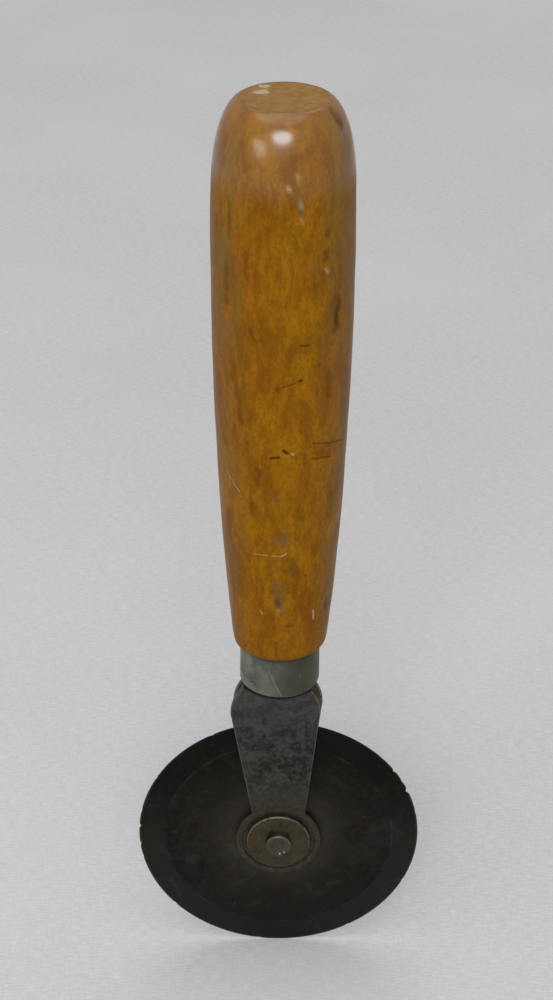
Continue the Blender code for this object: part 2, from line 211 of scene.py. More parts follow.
def wander(tree, vector, scale, reach):
    """A shift that wanders to all sides by up to half the reach."""
    clouds = put(tree, "ShaderNodeTexNoise", {"Vector": vector, "Scale": scale, "Detail": 4.0})
    shift = vector_calc(tree, "SUBTRACT", clouds.outputs["Color"], (0.5, 0.5, 0.5))
    return scaled(tree, shift, reach)


def stretch(tree, vector, scale):
    return put(tree, "ShaderNodeMapping", {"Vector": vector, "Scale": scale}).outputs[0]


def lengthen(tree, vector, share):
    """Draws a pattern out along Z: the smaller the share, the longer."""
    return stretch(tree, vector, (1.0, 1.0, share))


def noise(tree, vector, scale, detail=4.0, roughness=0.55, distortion=0.0):
    inputs = {
        "Vector": vector,
        "Scale": scale,
        "Detail": detail,
        "Roughness": roughness,
        "Distortion": distortion,
    }
    return put(tree, "ShaderNodeTexNoise", inputs).outputs[0]


def ramp(tree, value, low, high, first=0.0, last=1.0):
    """Goes softly from first to last while value goes from low to high."""
    inputs = {"Value": value, "From Min": low, "From Max": high, "To Min": first, "To Max": last}
    return put(tree, "ShaderNodeMapRange", inputs, interpolation_type="SMOOTHSTEP").outputs[0]


def blend(tree, share, first, second):
    """Mixes two colours; share 0 gives the first."""
    return put(tree, "ShaderNodeMix", {0: share, 6: first, 7: second}, data_type="RGBA").outputs[2]


def tint(tree, base, mask, strength, tone):
    """Lays a tone over the base where the mask is, never more than the strength."""
    share = calc(tree, "MULTIPLY", mask, strength)
    return blend(tree, share, base, tone)


def two_tone(tree, value, low, high, first, last):
    """Goes from one colour to the other while value goes from low to high."""
    return blend(tree, ramp(tree, value, low, high), first, last)


def colour(red, green, painted_low_light):
    return (red, green, painted_low_light, 1.0)


def new_group(name, inputs, outputs):
    tree = bpy.data.node_groups.new(name, "ShaderNodeTree")
    kinds = {float: "NodeSocketFloat", tuple: "NodeSocketVector"}
    for title, value in inputs.items():
        socket = tree.interface.new_socket(title, in_out="INPUT", socket_type=kinds[type(value)])
        socket.default_value = value
    for title, kind in outputs.items():
        tree.interface.new_socket(title, in_out="OUTPUT", socket_type=kinds[kind])
    start = tree.nodes.new("NodeGroupInput").outputs
    end = tree.nodes.new("NodeGroupOutput").inputs
    return tree, start, end


def use(tree, group, inputs):
    return put(tree, "ShaderNodeGroup", inputs, node_tree=group).outputs


def make_worn_edge_group():
    """Finds rounded edges, where the surface faces neither along the axis nor across it."""
    tree, start, end = new_group(
        "worn_edge",
        {"Vector": (0.0, 0.0, 0.0), "Axis": (0.0, 1.0, 0.0), "Break-up": 900.0, "Coverage": 0.7},
        {"Worn": float},
    )
    facing = put(tree, "ShaderNodeTexCoord").outputs["Normal"]
    along = calc(tree, "ABSOLUTE", dot(tree, facing, start["Axis"]))
    band = times(tree, ramp(tree, along, 0.10, 0.40), ramp(tree, along, 0.985, 0.90))
    patches = noise(tree, start["Vector"], start["Break-up"], 3.0)
    gate = minus(tree, 1.0, start["Coverage"])
    patches = ramp(tree, patches, minus(tree, gate, 0.02), plus(tree, gate, 0.22))
    tree.links.new(times(tree, band, patches), end["Worn"])
    return tree


def make_rust_group():
    """Patches of rust or stain with ragged borders, and the speckle inside them."""
    tree, start, end = new_group(
        "rust_bloom",
        {"Vector": (0.0, 0.0, 0.0), "Scale": 120.0, "Coverage": 0.4, "Softness": 0.12},
        {"Rust": float, "Speckle": float},
    )
    patches = noise(tree, start["Vector"], start["Scale"], 8.0, 0.62, 0.3)
    gate = minus(tree, 1.0, start["Coverage"])
    low = minus(tree, gate, start["Softness"])
    high = plus(tree, gate, start["Softness"])
    tree.links.new(ramp(tree, patches, low, high), end["Rust"])
    fine = noise(tree, start["Vector"], times(tree, start["Scale"], 9.0), 3.0, 0.6)
    tree.links.new(fine, end["Speckle"])
    return tree


def make_scratch_group():
    """Thin straight scratches along the vector's Z, thinned out by a broad mask."""
    tree, start, end = new_group(
        "fine_scratches",
        {"Vector": (0.0, 0.0, 0.0), "Scale": 900.0, "Length": 0.03, "Amount": 0.35},
        {"Scratch": float},
    )
    shape = put(tree, "ShaderNodeCombineXYZ", {0: 1.0, 1: 1.0, 2: start["Length"]}).outputs[0]
    drawn = vector_calc(tree, "MULTIPLY", start["Vector"], shape)
    lines = noise(tree, drawn, start["Scale"], 2.0, 0.5, 0.1)
    gate = minus(tree, 0.95, times(tree, start["Amount"], 0.75))
    lines = ramp(tree, lines, gate, plus(tree, gate, 0.05))
    broad = times(tree, start["Scale"], 0.12)
    places = ramp(tree, noise(tree, start["Vector"], broad, 2.0), 0.40, 0.60)
    tree.links.new(times(tree, lines, places), end["Scratch"])
    return tree


def make_grime_group():
    """Soft clouds of dirt at two sizes."""
    tree, start, end = new_group(
        "grime",
        {"Vector": (0.0, 0.0, 0.0), "Scale": 60.0, "Amount": 0.5},
        {"Grime": float},
    )
    wide = noise(tree, start["Vector"], start["Scale"], 4.0, 0.6)
    fine = noise(tree, start["Vector"], times(tree, start["Scale"], 7.0), 5.0, 0.65)
    both = plus(tree, times(tree, wide, 0.65), times(tree, fine, 0.35))
    gate = minus(tree, 0.80, times(tree, start["Amount"], 0.5))
    clouds = ramp(tree, both, gate, plus(tree, gate, 0.22))
    tree.links.new(clouds, end["Grime"])
    return tree


def make_grain_group():
    """Close straight grain of a turned hardwood along Z: tone, darker lines and short pores."""
    tree, start, end = new_group(
        "turned_grain",
        {"Vector": (0.0, 0.0, 0.0)},
        {"Tone": float, "Line": float, "Pore": float},
    )
    broad = noise(tree, lengthen(tree, start["Vector"], 0.40), 230.0, 5.0, 0.62, 0.6)
    narrow = noise(tree, lengthen(tree, start["Vector"], 0.30), 800.0, 4.0, 0.65, 0.2)
    tone = plus(tree, times(tree, broad, 0.68), times(tree, narrow, 0.32))
    tree.links.new(ramp(tree, tone, 0.36, 0.64), end["Tone"])
    fine = noise(tree, lengthen(tree, start["Vector"], 0.030), 1150.0, 3.0, 0.55)
    tree.links.new(ramp(tree, fine, 0.56, 0.70), end["Line"])
    pores = noise(tree, lengthen(tree, start["Vector"], 0.12), 2300.0, 2.0, 0.5)
    tree.links.new(ramp(tree, pores, 0.64, 0.74), end["Pore"])
    return tree


def make_skin_group():
    """The handle's skin unrolled from its front: across in metres, then height, with ragged borders."""
    tree, start, end = new_group(
        "handle_skin",
        {"Vector": (0.0, 0.0, 0.0), "Radius": 0.0135, "Raggedness": 0.0006},
        {"Skin": tuple},
    )
    place = split(tree, start["Vector"])
    turn = calc(tree, "ARCTAN2", place[0], times(tree, place[1], -1.0))
    across = times(tree, turn, start["Radius"])
    flat = put(tree, "ShaderNodeCombineXYZ", {0: across, 1: place[2]}).outputs[0]
    shift = wander(tree, start["Vector"], 750.0, start["Raggedness"])
    ragged = vector_calc(tree, "ADD", flat, shift)
    flattened = vector_calc(tree, "MULTIPLY", ragged, (1.0, 1.0, 0.0))
    tree.links.new(flattened, end["Skin"])
    return tree


def make_mark_group():
    """One dent, scratch or stain: everything within a width of a short line on the skin."""
    tree, start, end = new_group(
        "mark",
        {
            "Skin": (0.0, 0.0, 0.0),
            "Start": (0.0, 0.0, 0.0),
            "End": (0.0, 0.0, 0.0),
            "Half Width": 0.0005,
            "Softness": 0.5,
            "Strength": 1.0,
        },
        {"Mark": float},
    )
    reach = vector_calc(tree, "SUBTRACT", start["Skin"], start["Start"])
    line = vector_calc(tree, "SUBTRACT", start["End"], start["Start"])
    along = dot(tree, reach, line)
    length = plus(tree, dot(tree, line, line), 1e-10)
    share = calc(tree, "DIVIDE", along, length, clamp=True)
    foot = scaled(tree, line, share)
    gap = put(tree, "ShaderNodeVectorMath", {0: reach, 1: foot}, operation="DISTANCE").outputs["Value"]
    soft = times(tree, start["Half Width"], start["Softness"])
    outer = plus(tree, start["Half Width"], soft)
    inner = minus(tree, start["Half Width"], soft)
    mask = ramp(tree, gap, outer, inner)
    tree.links.new(times(tree, mask, start["Strength"]), end["Mark"])
    return tree


GROUPS = {}


def make_groups():
    GROUPS["worn_edge"] = make_worn_edge_group()
    GROUPS["rust"] = make_rust_group()
    GROUPS["scratches"] = make_scratch_group()
    GROUPS["grime"] = make_grime_group()
    GROUPS["grain"] = make_grain_group()
    GROUPS["skin"] = make_skin_group()
    GROUPS["mark"] = make_mark_group()


# ---------------------------------------------------------------------------
# Materials


def new_material(name, **uniform):
    """A material with its shader's plain sockets set; returns it with its tree, shader and place."""
    made = bpy.data.materials.new(name)
    made.use_nodes = True
    tree = made.node_tree
    shader = tree.nodes["Principled BSDF"]
    for socket, value in uniform.items():
        shader.inputs[socket.replace("_", " ")].default_value = value
    place = put(tree, "ShaderNodeTexCoord").outputs["Object"]
    return made, tree, shader, place


def finish_material(tree, shader, base, roughness=None, metallic=None, height=None, depth=0.05 * MM):
    tree.links.new(base, shader.inputs["Base Color"])
    if roughness:
        tree.links.new(roughness, shader.inputs["Roughness"])
    if metallic:
        tree.links.new(metallic, shader.inputs["Metallic"])
    if height:
        bump = put(tree, "ShaderNodeBump", {"Height": height, "Distance": depth, "Strength": 1.0})
        tree.links.new(bump.outputs[0], shader.inputs["Normal"])


def floor_cloth():
    made, tree, shader, place = new_material("pale_cloth", Roughness=0.9, Specular_IOR_Level=0.2)
    clouds = ramp(tree, noise(tree, place, 7.0, 4.0), 0.35, 0.65)
    base = blend(tree, clouds, colour(0.570, 0.558, 0.574), colour(0.616, 0.601, 0.594))
    weft = noise(tree, stretch(tree, place, (1.0, 7.0, 1.0)), 330.0, 3.0, 0.7)
    warp = noise(tree, stretch(tree, place, (6.0, 1.0, 1.0)), 300.0, 3.0, 0.7)
    weave = ramp(tree, plus(tree, times(tree, weft, 0.7), times(tree, warp, 0.3)), 0.40, 0.62)
    base = tint(tree, base, weave, 0.55, colour(0.735, 0.738, 0.755))
    finish_material(tree, shader, base)
    return made


# Marks on the wood: degrees round from the front and height, twice, then half width, softness and
# strength; lengths in millimetres
DARK_MARKS = (
    (60, 225.8, 66, 224.4, 0.7, 0.9, 0.6),
    (36, 204, 36, 203.6, 0.6, 0.9, 0.6),
    (35, 200, 35, 198.5, 0.8, 0.8, 0.5),
    (44, 189, 44, 186, 0.8, 0.9, 0.35),
    (49.7, 187.8, 47, 181, 0.8, 0.9, 0.75),
    (-26.7, 182.9, -22.5, 180.1, 0.35, 0.9, 0.5),
    (-22.5, 180.1, -16.6, 180.6, 0.6, 0.9, 0.45),
    (14, 179.6, 21, 179.3, 0.24, 0.8, 0.6),
    (-5, 169.2, 3.2, 170.0, 0.13, 0.8, 0.6),
    (3.2, 170.0, 14.6, 171.1, 0.12, 0.8, 0.65),
    (-4, 169.1, -3, 169.1, 0.35, 0.7, 0.6),
    (15.2, 171.1, 15.4, 171.0, 0.29, 0.8, 1.0),
    (30, 174.5, 31, 174, 0.4, 0.8, 0.5),
    (-42, 173, -41, 165, 0.45, 0.9, 0.3),
    (-47, 210, -46, 201, 0.40, 0.9, 0.45),
    (-43, 158, -42, 154, 0.5, 0.9, 0.35),
    (-31, 157, -30.6, 153, 0.45, 0.9, 0.3),
    (-9, 152.0, -2, 152.4, 0.28, 0.7, 0.9),
    (2, 154.0, 5, 153.3, 0.29, 0.8, 1.0),
    (8, 152.2, 14, 152.0, 0.35, 0.9, 0.5),
    (28, 154.9, 63, 152.4, 0.17, 0.8, 0.70),
    (25.6, 151.3, 46.7, 150.0, 0.19, 0.8, 0.70),
    (-20, 148, -20, 145, 0.7, 0.9, 0.50),
    (-38, 167, -37, 160, 0.6, 0.9, 0.40),
    (-33, 171, -33, 166, 0.5, 0.9, 0.35),
    (40, 172, 41, 166, 0.8, 0.9, 0.30),
    (52, 140, 50, 132, 1.2, 0.9, 0.25),
    (12, 125, 14, 121, 0.9, 0.9, 0.30),
    (-58, 134, -57, 128, 0.8, 0.9, 0.35),
    (28, 184, 30, 179, 0.7, 0.9, 0.30),
    (-50, 195, -49, 187, 0.7, 0.9, 0.40),
    (-30, 200, -29, 194, 0.6, 0.9, 0.25),
    (-27, 163, -26, 158, 0.5, 0.9, 0.30),
    (-26, 139, -25, 137, 0.9, 0.9, 0.45),
    (18, 138, 20, 136, 0.6, 0.9, 0.3),
    (26, 119.9, 26, 119.7, 0.33, 0.7, 0.7),
    (-3, 113.0, -3, 111.8, 0.6, 0.8, 0.6),
    (8, 106.5, 12, 106.0, 0.5, 0.9, 0.5),
    (60, 110, 60, 108, 0.6, 0.8, 0.6),
    (-5, 101, -4, 97, 0.5, 0.9, 0.4),
    (150, 190, 157, 186, 0.5, 0.8, 0.5),
    (-140, 160, -128, 161, 0.2, 0.6, 0.7),
    (165, 140, 172, 139.4, 0.3, 0.7, 0.7),
    (-110, 205, -108, 200, 0.8, 0.9, 0.5),
    (110, 130, 128, 131, 0.18, 0.6, 0.7),
    (-160, 118, -158, 114, 0.7, 0.9, 0.5),
)
REDDISH_MARKS = (
    (30, 153.8, 46, 152.9, 0.6, 0.9, 0.5),
    (31, 152.4, 45, 151.2, 0.55, 0.9, 0.6),
    (14, 205.5, 14, 205, 0.5, 0.9, 0.4),
    (60, 227.4, 66, 226.2, 0.8, 0.9, 0.8),
    (-100, 150, -90, 151, 0.7, 0.9, 0.5),
    (140, 172, 146, 170, 0.6, 0.9, 0.5),
)
GREY_MARKS = (
    (3, 131, 4, 129.6, 1.1, 0.9, 0.55),
    (-6, 130.5, -4, 130, 0.9, 0.9, 0.35),
    (-4, 141.3, -4, 140.8, 0.7, 0.9, 0.4),
    (-3, 117.5, -2, 113, 1.0, 0.7, 0.6),
    (2, 114.5, 3, 110.5, 0.9, 0.9, 0.45),
    (62, 162.4, 64, 158.4, 0.9, 0.9, 0.45),
    (63.5, 144.4, 57.7, 141.2, 1.0, 0.9, 0.4),
    (-61, 120.4, -62.6, 111.9, 1.1, 0.9, 0.4),
    (14, 209.6, 14, 208.9, 0.35, 0.8, 0.9),
    (12, 213, 14, 211, 0.7, 0.9, 0.4),
    (24, 197, 28, 196, 0.8, 0.9, 0.3),
    (68, 222, 66, 218, 1.2, 0.9, 0.4),
    (170, 210, 175, 203, 1.0, 0.9, 0.4),
    (-120, 135, -118, 128, 1.2, 0.9, 0.4),
    (120, 155, 121, 147, 1.0, 0.9, 0.4),
)
PALE_MARKS = (
    (10.7, 217.4, 11.2, 216.2, 0.40, 0.9, 0.55),
    (4, 214.6, 5.5, 214.3, 0.35, 0.9, 0.6),
    (13, 211.8, 14, 210.6, 0.3, 0.8, 0.4),
    (14, 208.0, 14.5, 207.7, 0.36, 0.9, 0.5),
    (35, 196.2, 36, 195.4, 0.42, 0.9, 0.45),
    (9, 153.0, 9.5, 153.0, 0.24, 0.8, 0.7),
    (-57, 145.1, -48, 143.3, 0.10, 0.8, 0.5),
    (-48, 143.3, -40, 141.4, 0.12, 0.8, 0.6),
    (-25.6, 126.0, -12.6, 126.1, 0.10, 0.8, 0.5),
    (-8.6, 126.1, 0.3, 126.1, 0.11, 0.8, 0.5),
    (0.3, 126.1, 5, 126.7, 0.15, 0.8, 0.65),
    (-21, 110.1, -20, 109.3, 0.14, 0.6, 0.7),
    (-3, 111.2, -2, 110.5, 0.3, 0.9, 0.25),
    (38, 109.2, 39, 106.6, 0.26, 0.7, 0.7),
    (145, 181, 160, 183, 0.14, 0.6, 0.6),
    (-150, 129, -138, 126, 0.14, 0.6, 0.7),
    (95, 196, 97, 193, 0.3, 0.8, 0.6),
)
# Drops of pale paint on the butt: two places seen from above and half a width, in millimetres
PAINT_DROPS = (
    ((-4.4, 6.4, 0.0), (-3.7, 6.6, 0.0), 0.75),
    ((-5.4, 3.2, 0.0), (-4.4, 3.4, 0.0), 0.95),
)
# Marks no wider than this are drawn in the material, the wider ones are painted on the mesh
FINE_MARK = 0.29


def on_skin(turn, height):
    """A place on the unrolled skin, from degrees round from the front and a height in millimetres."""
    return Vector((math.radians(turn) * SKIN_RADIUS, height * MM, 0.0))


def one_mark(tree, skin, near, far, half_width, softness, strength=1.0):
    inputs = {
        "Skin": skin,
        "Start": near,
        "End": far,
        "Half Width": half_width,
        "Softness": softness,
        "Strength": strength,
    }
    return use(tree, GROUPS["mark"], inputs)["Mark"]


def gather_marks(tree, skin, marks):
    """The strongest of the fine marks at each point."""
    total = None
    for turn, height, far_turn, far_height, half_width, softness, strength in marks:
        if half_width > FINE_MARK:
            continue
        near = on_skin(turn, height)
        far = on_skin(far_turn, far_height)
        mark = one_mark(tree, skin, near, far, half_width * MM, softness, strength)
        total = larger(tree, total, mark) if total else mark
    return total


def painted(tree, name):
    """A stain that is painted on the handle's own corners."""
    return put(tree, "ShaderNodeAttribute", attribute_name=name).outputs["Fac"]


def grain_and_grime(tree, place, spot, grain):
    """The wood under its varnish; returns its colour, where it is dull and where its flanks are."""
    base = blend(tree, grain["Tone"], colour(0.194, 0.066, 0.0003), colour(0.314, 0.129, 0.0004))
    base = tint(tree, base, grain["Line"], 0.08, colour(0.150, 0.055, 0.003))
    base = tint(tree, base, grain["Pore"], 0.20, colour(0.110, 0.042, 0.003))
    wide = ramp(tree, noise(tree, lengthen(tree, place, 0.45), 75.0, 4.0, 0.6), 0.42, 0.66)
    base = tint(tree, base, wide, 0.30, colour(0.270, 0.082, 0.003))
    dull = use(tree, GROUPS["grime"], {"Vector": place, "Scale": 95.0, "Amount": 0.35})["Grime"]
    base = tint(tree, base, dull, 0.30, colour(0.170, 0.085, 0.010))
    mottle = noise(tree, lengthen(tree, place, 0.6), 1500.0, 5.0, 0.75)
    mottle = ramp(tree, mottle, 0.42, 0.62)
    base = tint(tree, base, mottle, 0.42, colour(0.130, 0.047, 0.0006))

    # Broken brown streaks on the flanks that face left and right along X
    flank = ramp(tree, calc(tree, "ABSOLUTE", spot[0]), 6.0 * MM, 13.0 * MM)
    streaks = noise(tree, lengthen(tree, place, 0.30), 230.0, 6.0, 0.66, 0.6)
    streaks = times(tree, flank, ramp(tree, streaks, 0.44, 0.60))
    base = tint(tree, base, streaks, 0.65, colour(0.165, 0.100, 0.020))
    flecks = rust_on(tree, place, 420.0, 0.33, 0.03)
    base = tint(tree, base, flecks["Rust"], 0.40, colour(0.125, 0.048, 0.004))
    return base, dull, flank


def worn_butt(tree, place, spot, base):
    """The butt and the rounding above the belly, where the varnish is worn thin."""
    radius = length_of(tree, vector_calc(tree, "MULTIPLY", place, (1.0, 1.0, 0.0)))
    frayed = times_plus(tree, noise(tree, place, 330.0, 5.0, 0.65), 2.2 * MM, radius)
    top = ramp(tree, spot[2], HANDLE_BUTT - 1.9 * MM, HANDLE_BUTT - 0.5 * MM)
    top = times(tree, top, ramp(tree, frayed, 11.2 * MM, 10.0 * MM))
    thin = ramp(tree, spot[2], HANDLE_BUTT - 13.0 * MM, HANDLE_BUTT - 1.5 * MM)
    thin = times(tree, thin, ramp(tree, noise(tree, place, 160.0, 5.0), 0.30, 0.62))
    base = tint(tree, base, thin, 0.55, colour(0.300, 0.135, 0.022))
    ends = noise(tree, lengthen(tree, place, 0.3), 520.0, 5.0, 0.65)
    butt = two_tone(tree, ends, 0.30, 0.72, colour(0.260, 0.135, 0.046), colour(0.330, 0.185, 0.066))
    base = blend(tree, top, base, butt)
    ring = times(tree, ramp(tree, frayed, 9.6 * MM, 10.4 * MM), ramp(tree, frayed, 11.4 * MM, 10.6 * MM))
    ring = times(tree, ring, ramp(tree, spot[2], HANDLE_BUTT - 2.5 * MM, HANDLE_BUTT - 0.8 * MM))
    ring = times(tree, ring, ramp(tree, spot[1], 3.0 * MM, -6.0 * MM, 0.35, 1.0))
    base = tint(tree, base, ring, 0.30, colour(0.130, 0.056, 0.016))
    return base, top


def stained(tree, skin, base):
    """Dents, scratches and stains, the dark and pale ones told apart for the coat and the relief."""
    reddish = painted(tree, "reddish")
    smudged = painted(tree, "smudged")
    dark = larger(tree, painted(tree, "bruised"), gather_marks(tree, skin, DARK_MARKS))
    pale = larger(tree, painted(tree, "bare"), gather_marks(tree, skin, PALE_MARKS))
    base = blend(tree, reddish, base, colour(0.140, 0.038, 0.004))
    base = blend(tree, smudged, base, colour(0.125, 0.084, 0.036))
    base = blend(tree, dark, base, colour(0.052, 0.022, 0.005))
    base = blend(tree, pale, base, colour(0.470, 0.380, 0.230))
    return base, dark, pale, smudged


def ragged_flat(tree, place, raggedness):
    """The place seen from above, with wandering borders."""
    shift = wander(tree, place, 520.0, raggedness)
    return vector_calc(tree, "MULTIPLY", vector_calc(tree, "ADD", place, shift), (1.0, 1.0, 0.0))


def dropped_paint(tree, place, spot, base):
    """Two drops of pale paint on the butt."""
    drops = None
    for near, far, half_width in PAINT_DROPS:
        from_above = ragged_flat(tree, place, 2.6 * MM)
        drop = one_mark(tree, from_above, Vector(near) * MM, Vector(far) * MM, half_width * MM, 0.6, 0.75)
        drops = larger(tree, drops, drop) if drops else drop
    on_top = ramp(tree, spot[2], HANDLE_BUTT - 1.5 * MM, HANDLE_BUTT - 0.7 * MM)
    base = tint(tree, base, drops, on_top, colour(0.470, 0.450, 0.300))
    return base


def varnished_wood():
    made, tree, shader, place = new_material(
        "varnished_wood", Specular_IOR_Level=0.02, Coat_Roughness=0.21, Coat_IOR=1.6
    )
    spot = split(tree, place)
    grain = use(tree, GROUPS["grain"], {"Vector": place})
    skin = use(tree, GROUPS["skin"], {"Vector": place, "Radius": SKIN_RADIUS, "Raggedness": 0.7 * MM})[0]
    base, dull, flank = grain_and_grime(tree, place, spot, grain)
    base, top = worn_butt(tree, place, spot, base)

    # Dirt that gathered against the ferrule
    foot = ramp(tree, spot[2], HANDLE_BASE + 3.0 * MM, HANDLE_BASE)
    base = tint(tree, base, foot, 0.55, colour(0.130, 0.048, 0.006))

    base, dark, pale, smudged = stained(tree, skin, base)
    base = dropped_paint(tree, place, spot, base)

    rough = times_plus(tree, grain["Tone"], -0.06, 0.46)
    rough = times_plus(tree, top, 0.22, rough)
    rough = times_plus(tree, dull, 0.10, rough)
    bare = larger(tree, larger(tree, top, pale), times(tree, dark, 0.8))
    bare = larger(tree, bare, times(tree, smudged, 0.7))
    thick = ramp(tree, spot[2], HANDLE_BUTT - 19.0 * MM, HANDLE_BUTT - 11.0 * MM, 0.09, 1.0)
    thick = times_plus(tree, flank, 0.12, thick)
    coat = times(tree, thick, calc(tree, "SUBTRACT", 1.0, bare, clamp=True))
    coat = calc(tree, "SUBTRACT", coat, times(tree, dull, 0.06), clamp=True)
    tree.links.new(coat, shader.inputs["Coat Weight"])

    peel = noise(tree, place, 330.0, 3.0)
    height = times_plus(tree, grain["Line"], -0.10, times(tree, peel, 0.55))
    height = times_plus(tree, dark, -0.9, height)
    height = times_plus(tree, pale, -0.5, height)
    height = times_plus(tree, smudged, -0.4, height)
    height = times_plus(tree, grain["Pore"], -0.12, height)
    finish_material(tree, shader, base, rough, height=height, depth=0.10 * MM)
    return made


def rust_on(tree, place, scale, coverage, softness):
    inputs = {"Vector": place, "Scale": scale, "Coverage": coverage, "Softness": softness}
    return use(tree, GROUPS["rust"], inputs)


def scratches_on(tree, place, lean, scale, amount):
    """Scratches that lean by so many degrees."""
    turned = put(tree, "ShaderNodeMapping", {"Vector": place, "Rotation": (0.0, math.radians(lean), 0.0)})
    inputs = {"Vector": turned.outputs[0], "Scale": scale, "Amount": amount}
    return use(tree, GROUPS["scratches"], inputs)["Scratch"]


def steel_parts(tree, place, edge_axis, coverage):
    """The worn edges and the scratches that every old steel piece here shares."""
    inputs = {"Vector": place, "Axis": edge_axis, "Coverage": coverage}
    worn = use(tree, GROUPS["worn_edge"], inputs)["Worn"]
    return worn, scratches_on(tree, place, 24.0, 700.0, 0.35)


def ferrule_steel():
    made, tree, shader, place = new_material("ferrule_steel")
    spot = split(tree, place)
    worn, lines = steel_parts(tree, place, (0.0, 0.0, 1.0), 0.75)
    clouds = noise(tree, place, 210.0, 6.0, 0.62, 0.4)
    base = two_tone(tree, clouds, 0.34, 0.66, colour(0.120, 0.123, 0.096), colour(0.245, 0.252, 0.195))
    # Painted shade: the tube is darker on its right side and lighter towards its left
    side = ramp(tree, times_plus(tree, clouds, 4.0 * MM, spot[0]), -4.0 * MM, 6.0 * MM)
    base = tint(tree, base, side, 0.84, colour(0.066, 0.059, 0.040))
    stain = rust_on(tree, place, 260.0, 0.42, 0.08)
    base = tint(tree, base, stain["Rust"], 0.35, colour(0.052, 0.048, 0.034))
    base = tint(tree, base, lines, 0.40, colour(0.340, 0.345, 0.320))
    seam = ramp(tree, spot[2], FERRULE_TOP - 1.6 * MM, FERRULE_TOP - 0.1 * MM)
    base = tint(tree, base, seam, 0.70, colour(0.030, 0.026, 0.020))
    lip = ramp(tree, spot[2], MOUTH + 0.55 * MM, MOUTH + 0.1 * MM)
    base = tint(tree, base, lip, 0.60, colour(0.036, 0.034, 0.027))
    base = tint(tree, base, worn, 0.75, colour(0.400, 0.400, 0.370))
    rough = times_plus(tree, clouds, 0.25, 0.32)
    rough = times_plus(tree, stain["Rust"], 0.12, rough)
    metal = minus(tree, 0.92, times(tree, stain["Rust"], 0.35))
    height = times_plus(tree, lines, -0.5, times(tree, stain["Speckle"], 0.35))
    finish_material(tree, shader, base, rough, metal, height, 0.03 * MM)
    return made


def cheek_steel():
    made, tree, shader, place = new_material("cheek_steel")
    spot = split(tree, place)
    worn, lines = steel_parts(tree, place, (0.0, 1.0, 0.0), 0.72)
    clouds = noise(tree, place, 190.0, 7.0, 0.66, 0.5)
    mottle = noise(tree, place, 820.0, 5.0, 0.65)
    tone = plus(tree, times(tree, clouds, 0.42), times(tree, mottle, 0.58))
    base = two_tone(tree, tone, 0.39, 0.61, colour(0.021, 0.0215, 0.0175), colour(0.072, 0.073, 0.063))
    # Painted light: the cheek grows paler towards its top
    painted_top_light = ramp(tree, spot[2], 62.0 * MM, 78.0 * MM)
    base = tint(tree, base, painted_top_light, 0.30, colour(0.105, 0.106, 0.104))
    specks = ramp(tree, noise(tree, place, 1500.0, 1.0), 0.765, 0.785)
    base = tint(tree, base, specks, 0.45, colour(0.300, 0.300, 0.290))
    base = tint(tree, base, lines, 0.25, colour(0.160, 0.160, 0.155))
    stain = rust_on(tree, place, 200.0, 0.40, 0.10)
    base = tint(tree, base, stain["Rust"], 0.40, colour(0.030, 0.028, 0.023))

    # Brown towards the axle, and on the faces turned to the blade
    low = ramp(tree, times_plus(tree, clouds, 14.0 * MM, spot[2]), 64.0 * MM, 52.0 * MM)
    base = tint(tree, base, low, 0.80, colour(0.030, 0.025, 0.014))
    facing = put(tree, "ShaderNodeTexCoord").outputs["Normal"]
    facing = split(tree, facing)[1]
    inward = times(tree, facing, times(tree, spot[1], -1000.0))
    inward = ramp(tree, inward, 0.1, 0.8)
    brown = two_tone(tree, mottle, 0.35, 0.65, colour(0.055, 0.030, 0.016), colour(0.130, 0.078, 0.043))
    base = tint(tree, base, inward, 0.85, brown)
    bright = blend(tree, low, colour(0.150, 0.150, 0.140), colour(0.075, 0.062, 0.042))
    base = tint(tree, base, worn, 0.80, bright)
    # Painted shadow of the ferrule: a dark arc across the neck just below its mouth
    shadow_arc_height = times_plus(tree, times(tree, spot[0], spot[0]), -43.0, spot[2])
    under = ramp(tree, shadow_arc_height, MOUTH - 5.6 * MM, MOUTH - 4.6 * MM)
    base = tint(tree, base, under, 0.90, colour(0.014, 0.009, 0.005))

    # The eye, stained by the rust that crept out from the axle
    from_axle = vector_calc(tree, "MULTIPLY", place, (1.0, 0.0, 1.0))
    from_axle = vector_calc(tree, "SUBTRACT", from_axle, AXLE)
    eye = ramp(tree, times_plus(tree, clouds, 5.0 * MM, length_of(tree, from_axle)), 17.5 * MM, 13.5 * MM)
    crept = two_tone(tree, mottle, 0.36, 0.62, colour(0.022, 0.0165, 0.0085), colour(0.046, 0.033, 0.017))
    base = tint(tree, base, eye, 0.92, crept)
    rough = times_plus(tree, mottle, 0.22, 0.34)
    rough = times_plus(tree, low, 0.10, rough)
    metal = minus(tree, 0.90, times(tree, larger(tree, low, inward), 0.45))
    height = times_plus(tree, mottle, 0.35, times(tree, lines, -0.4))
    height = times_plus(tree, clouds, 0.5, height)
    finish_material(tree, shader, base, rough, metal, height, 0.04 * MM)
    return made


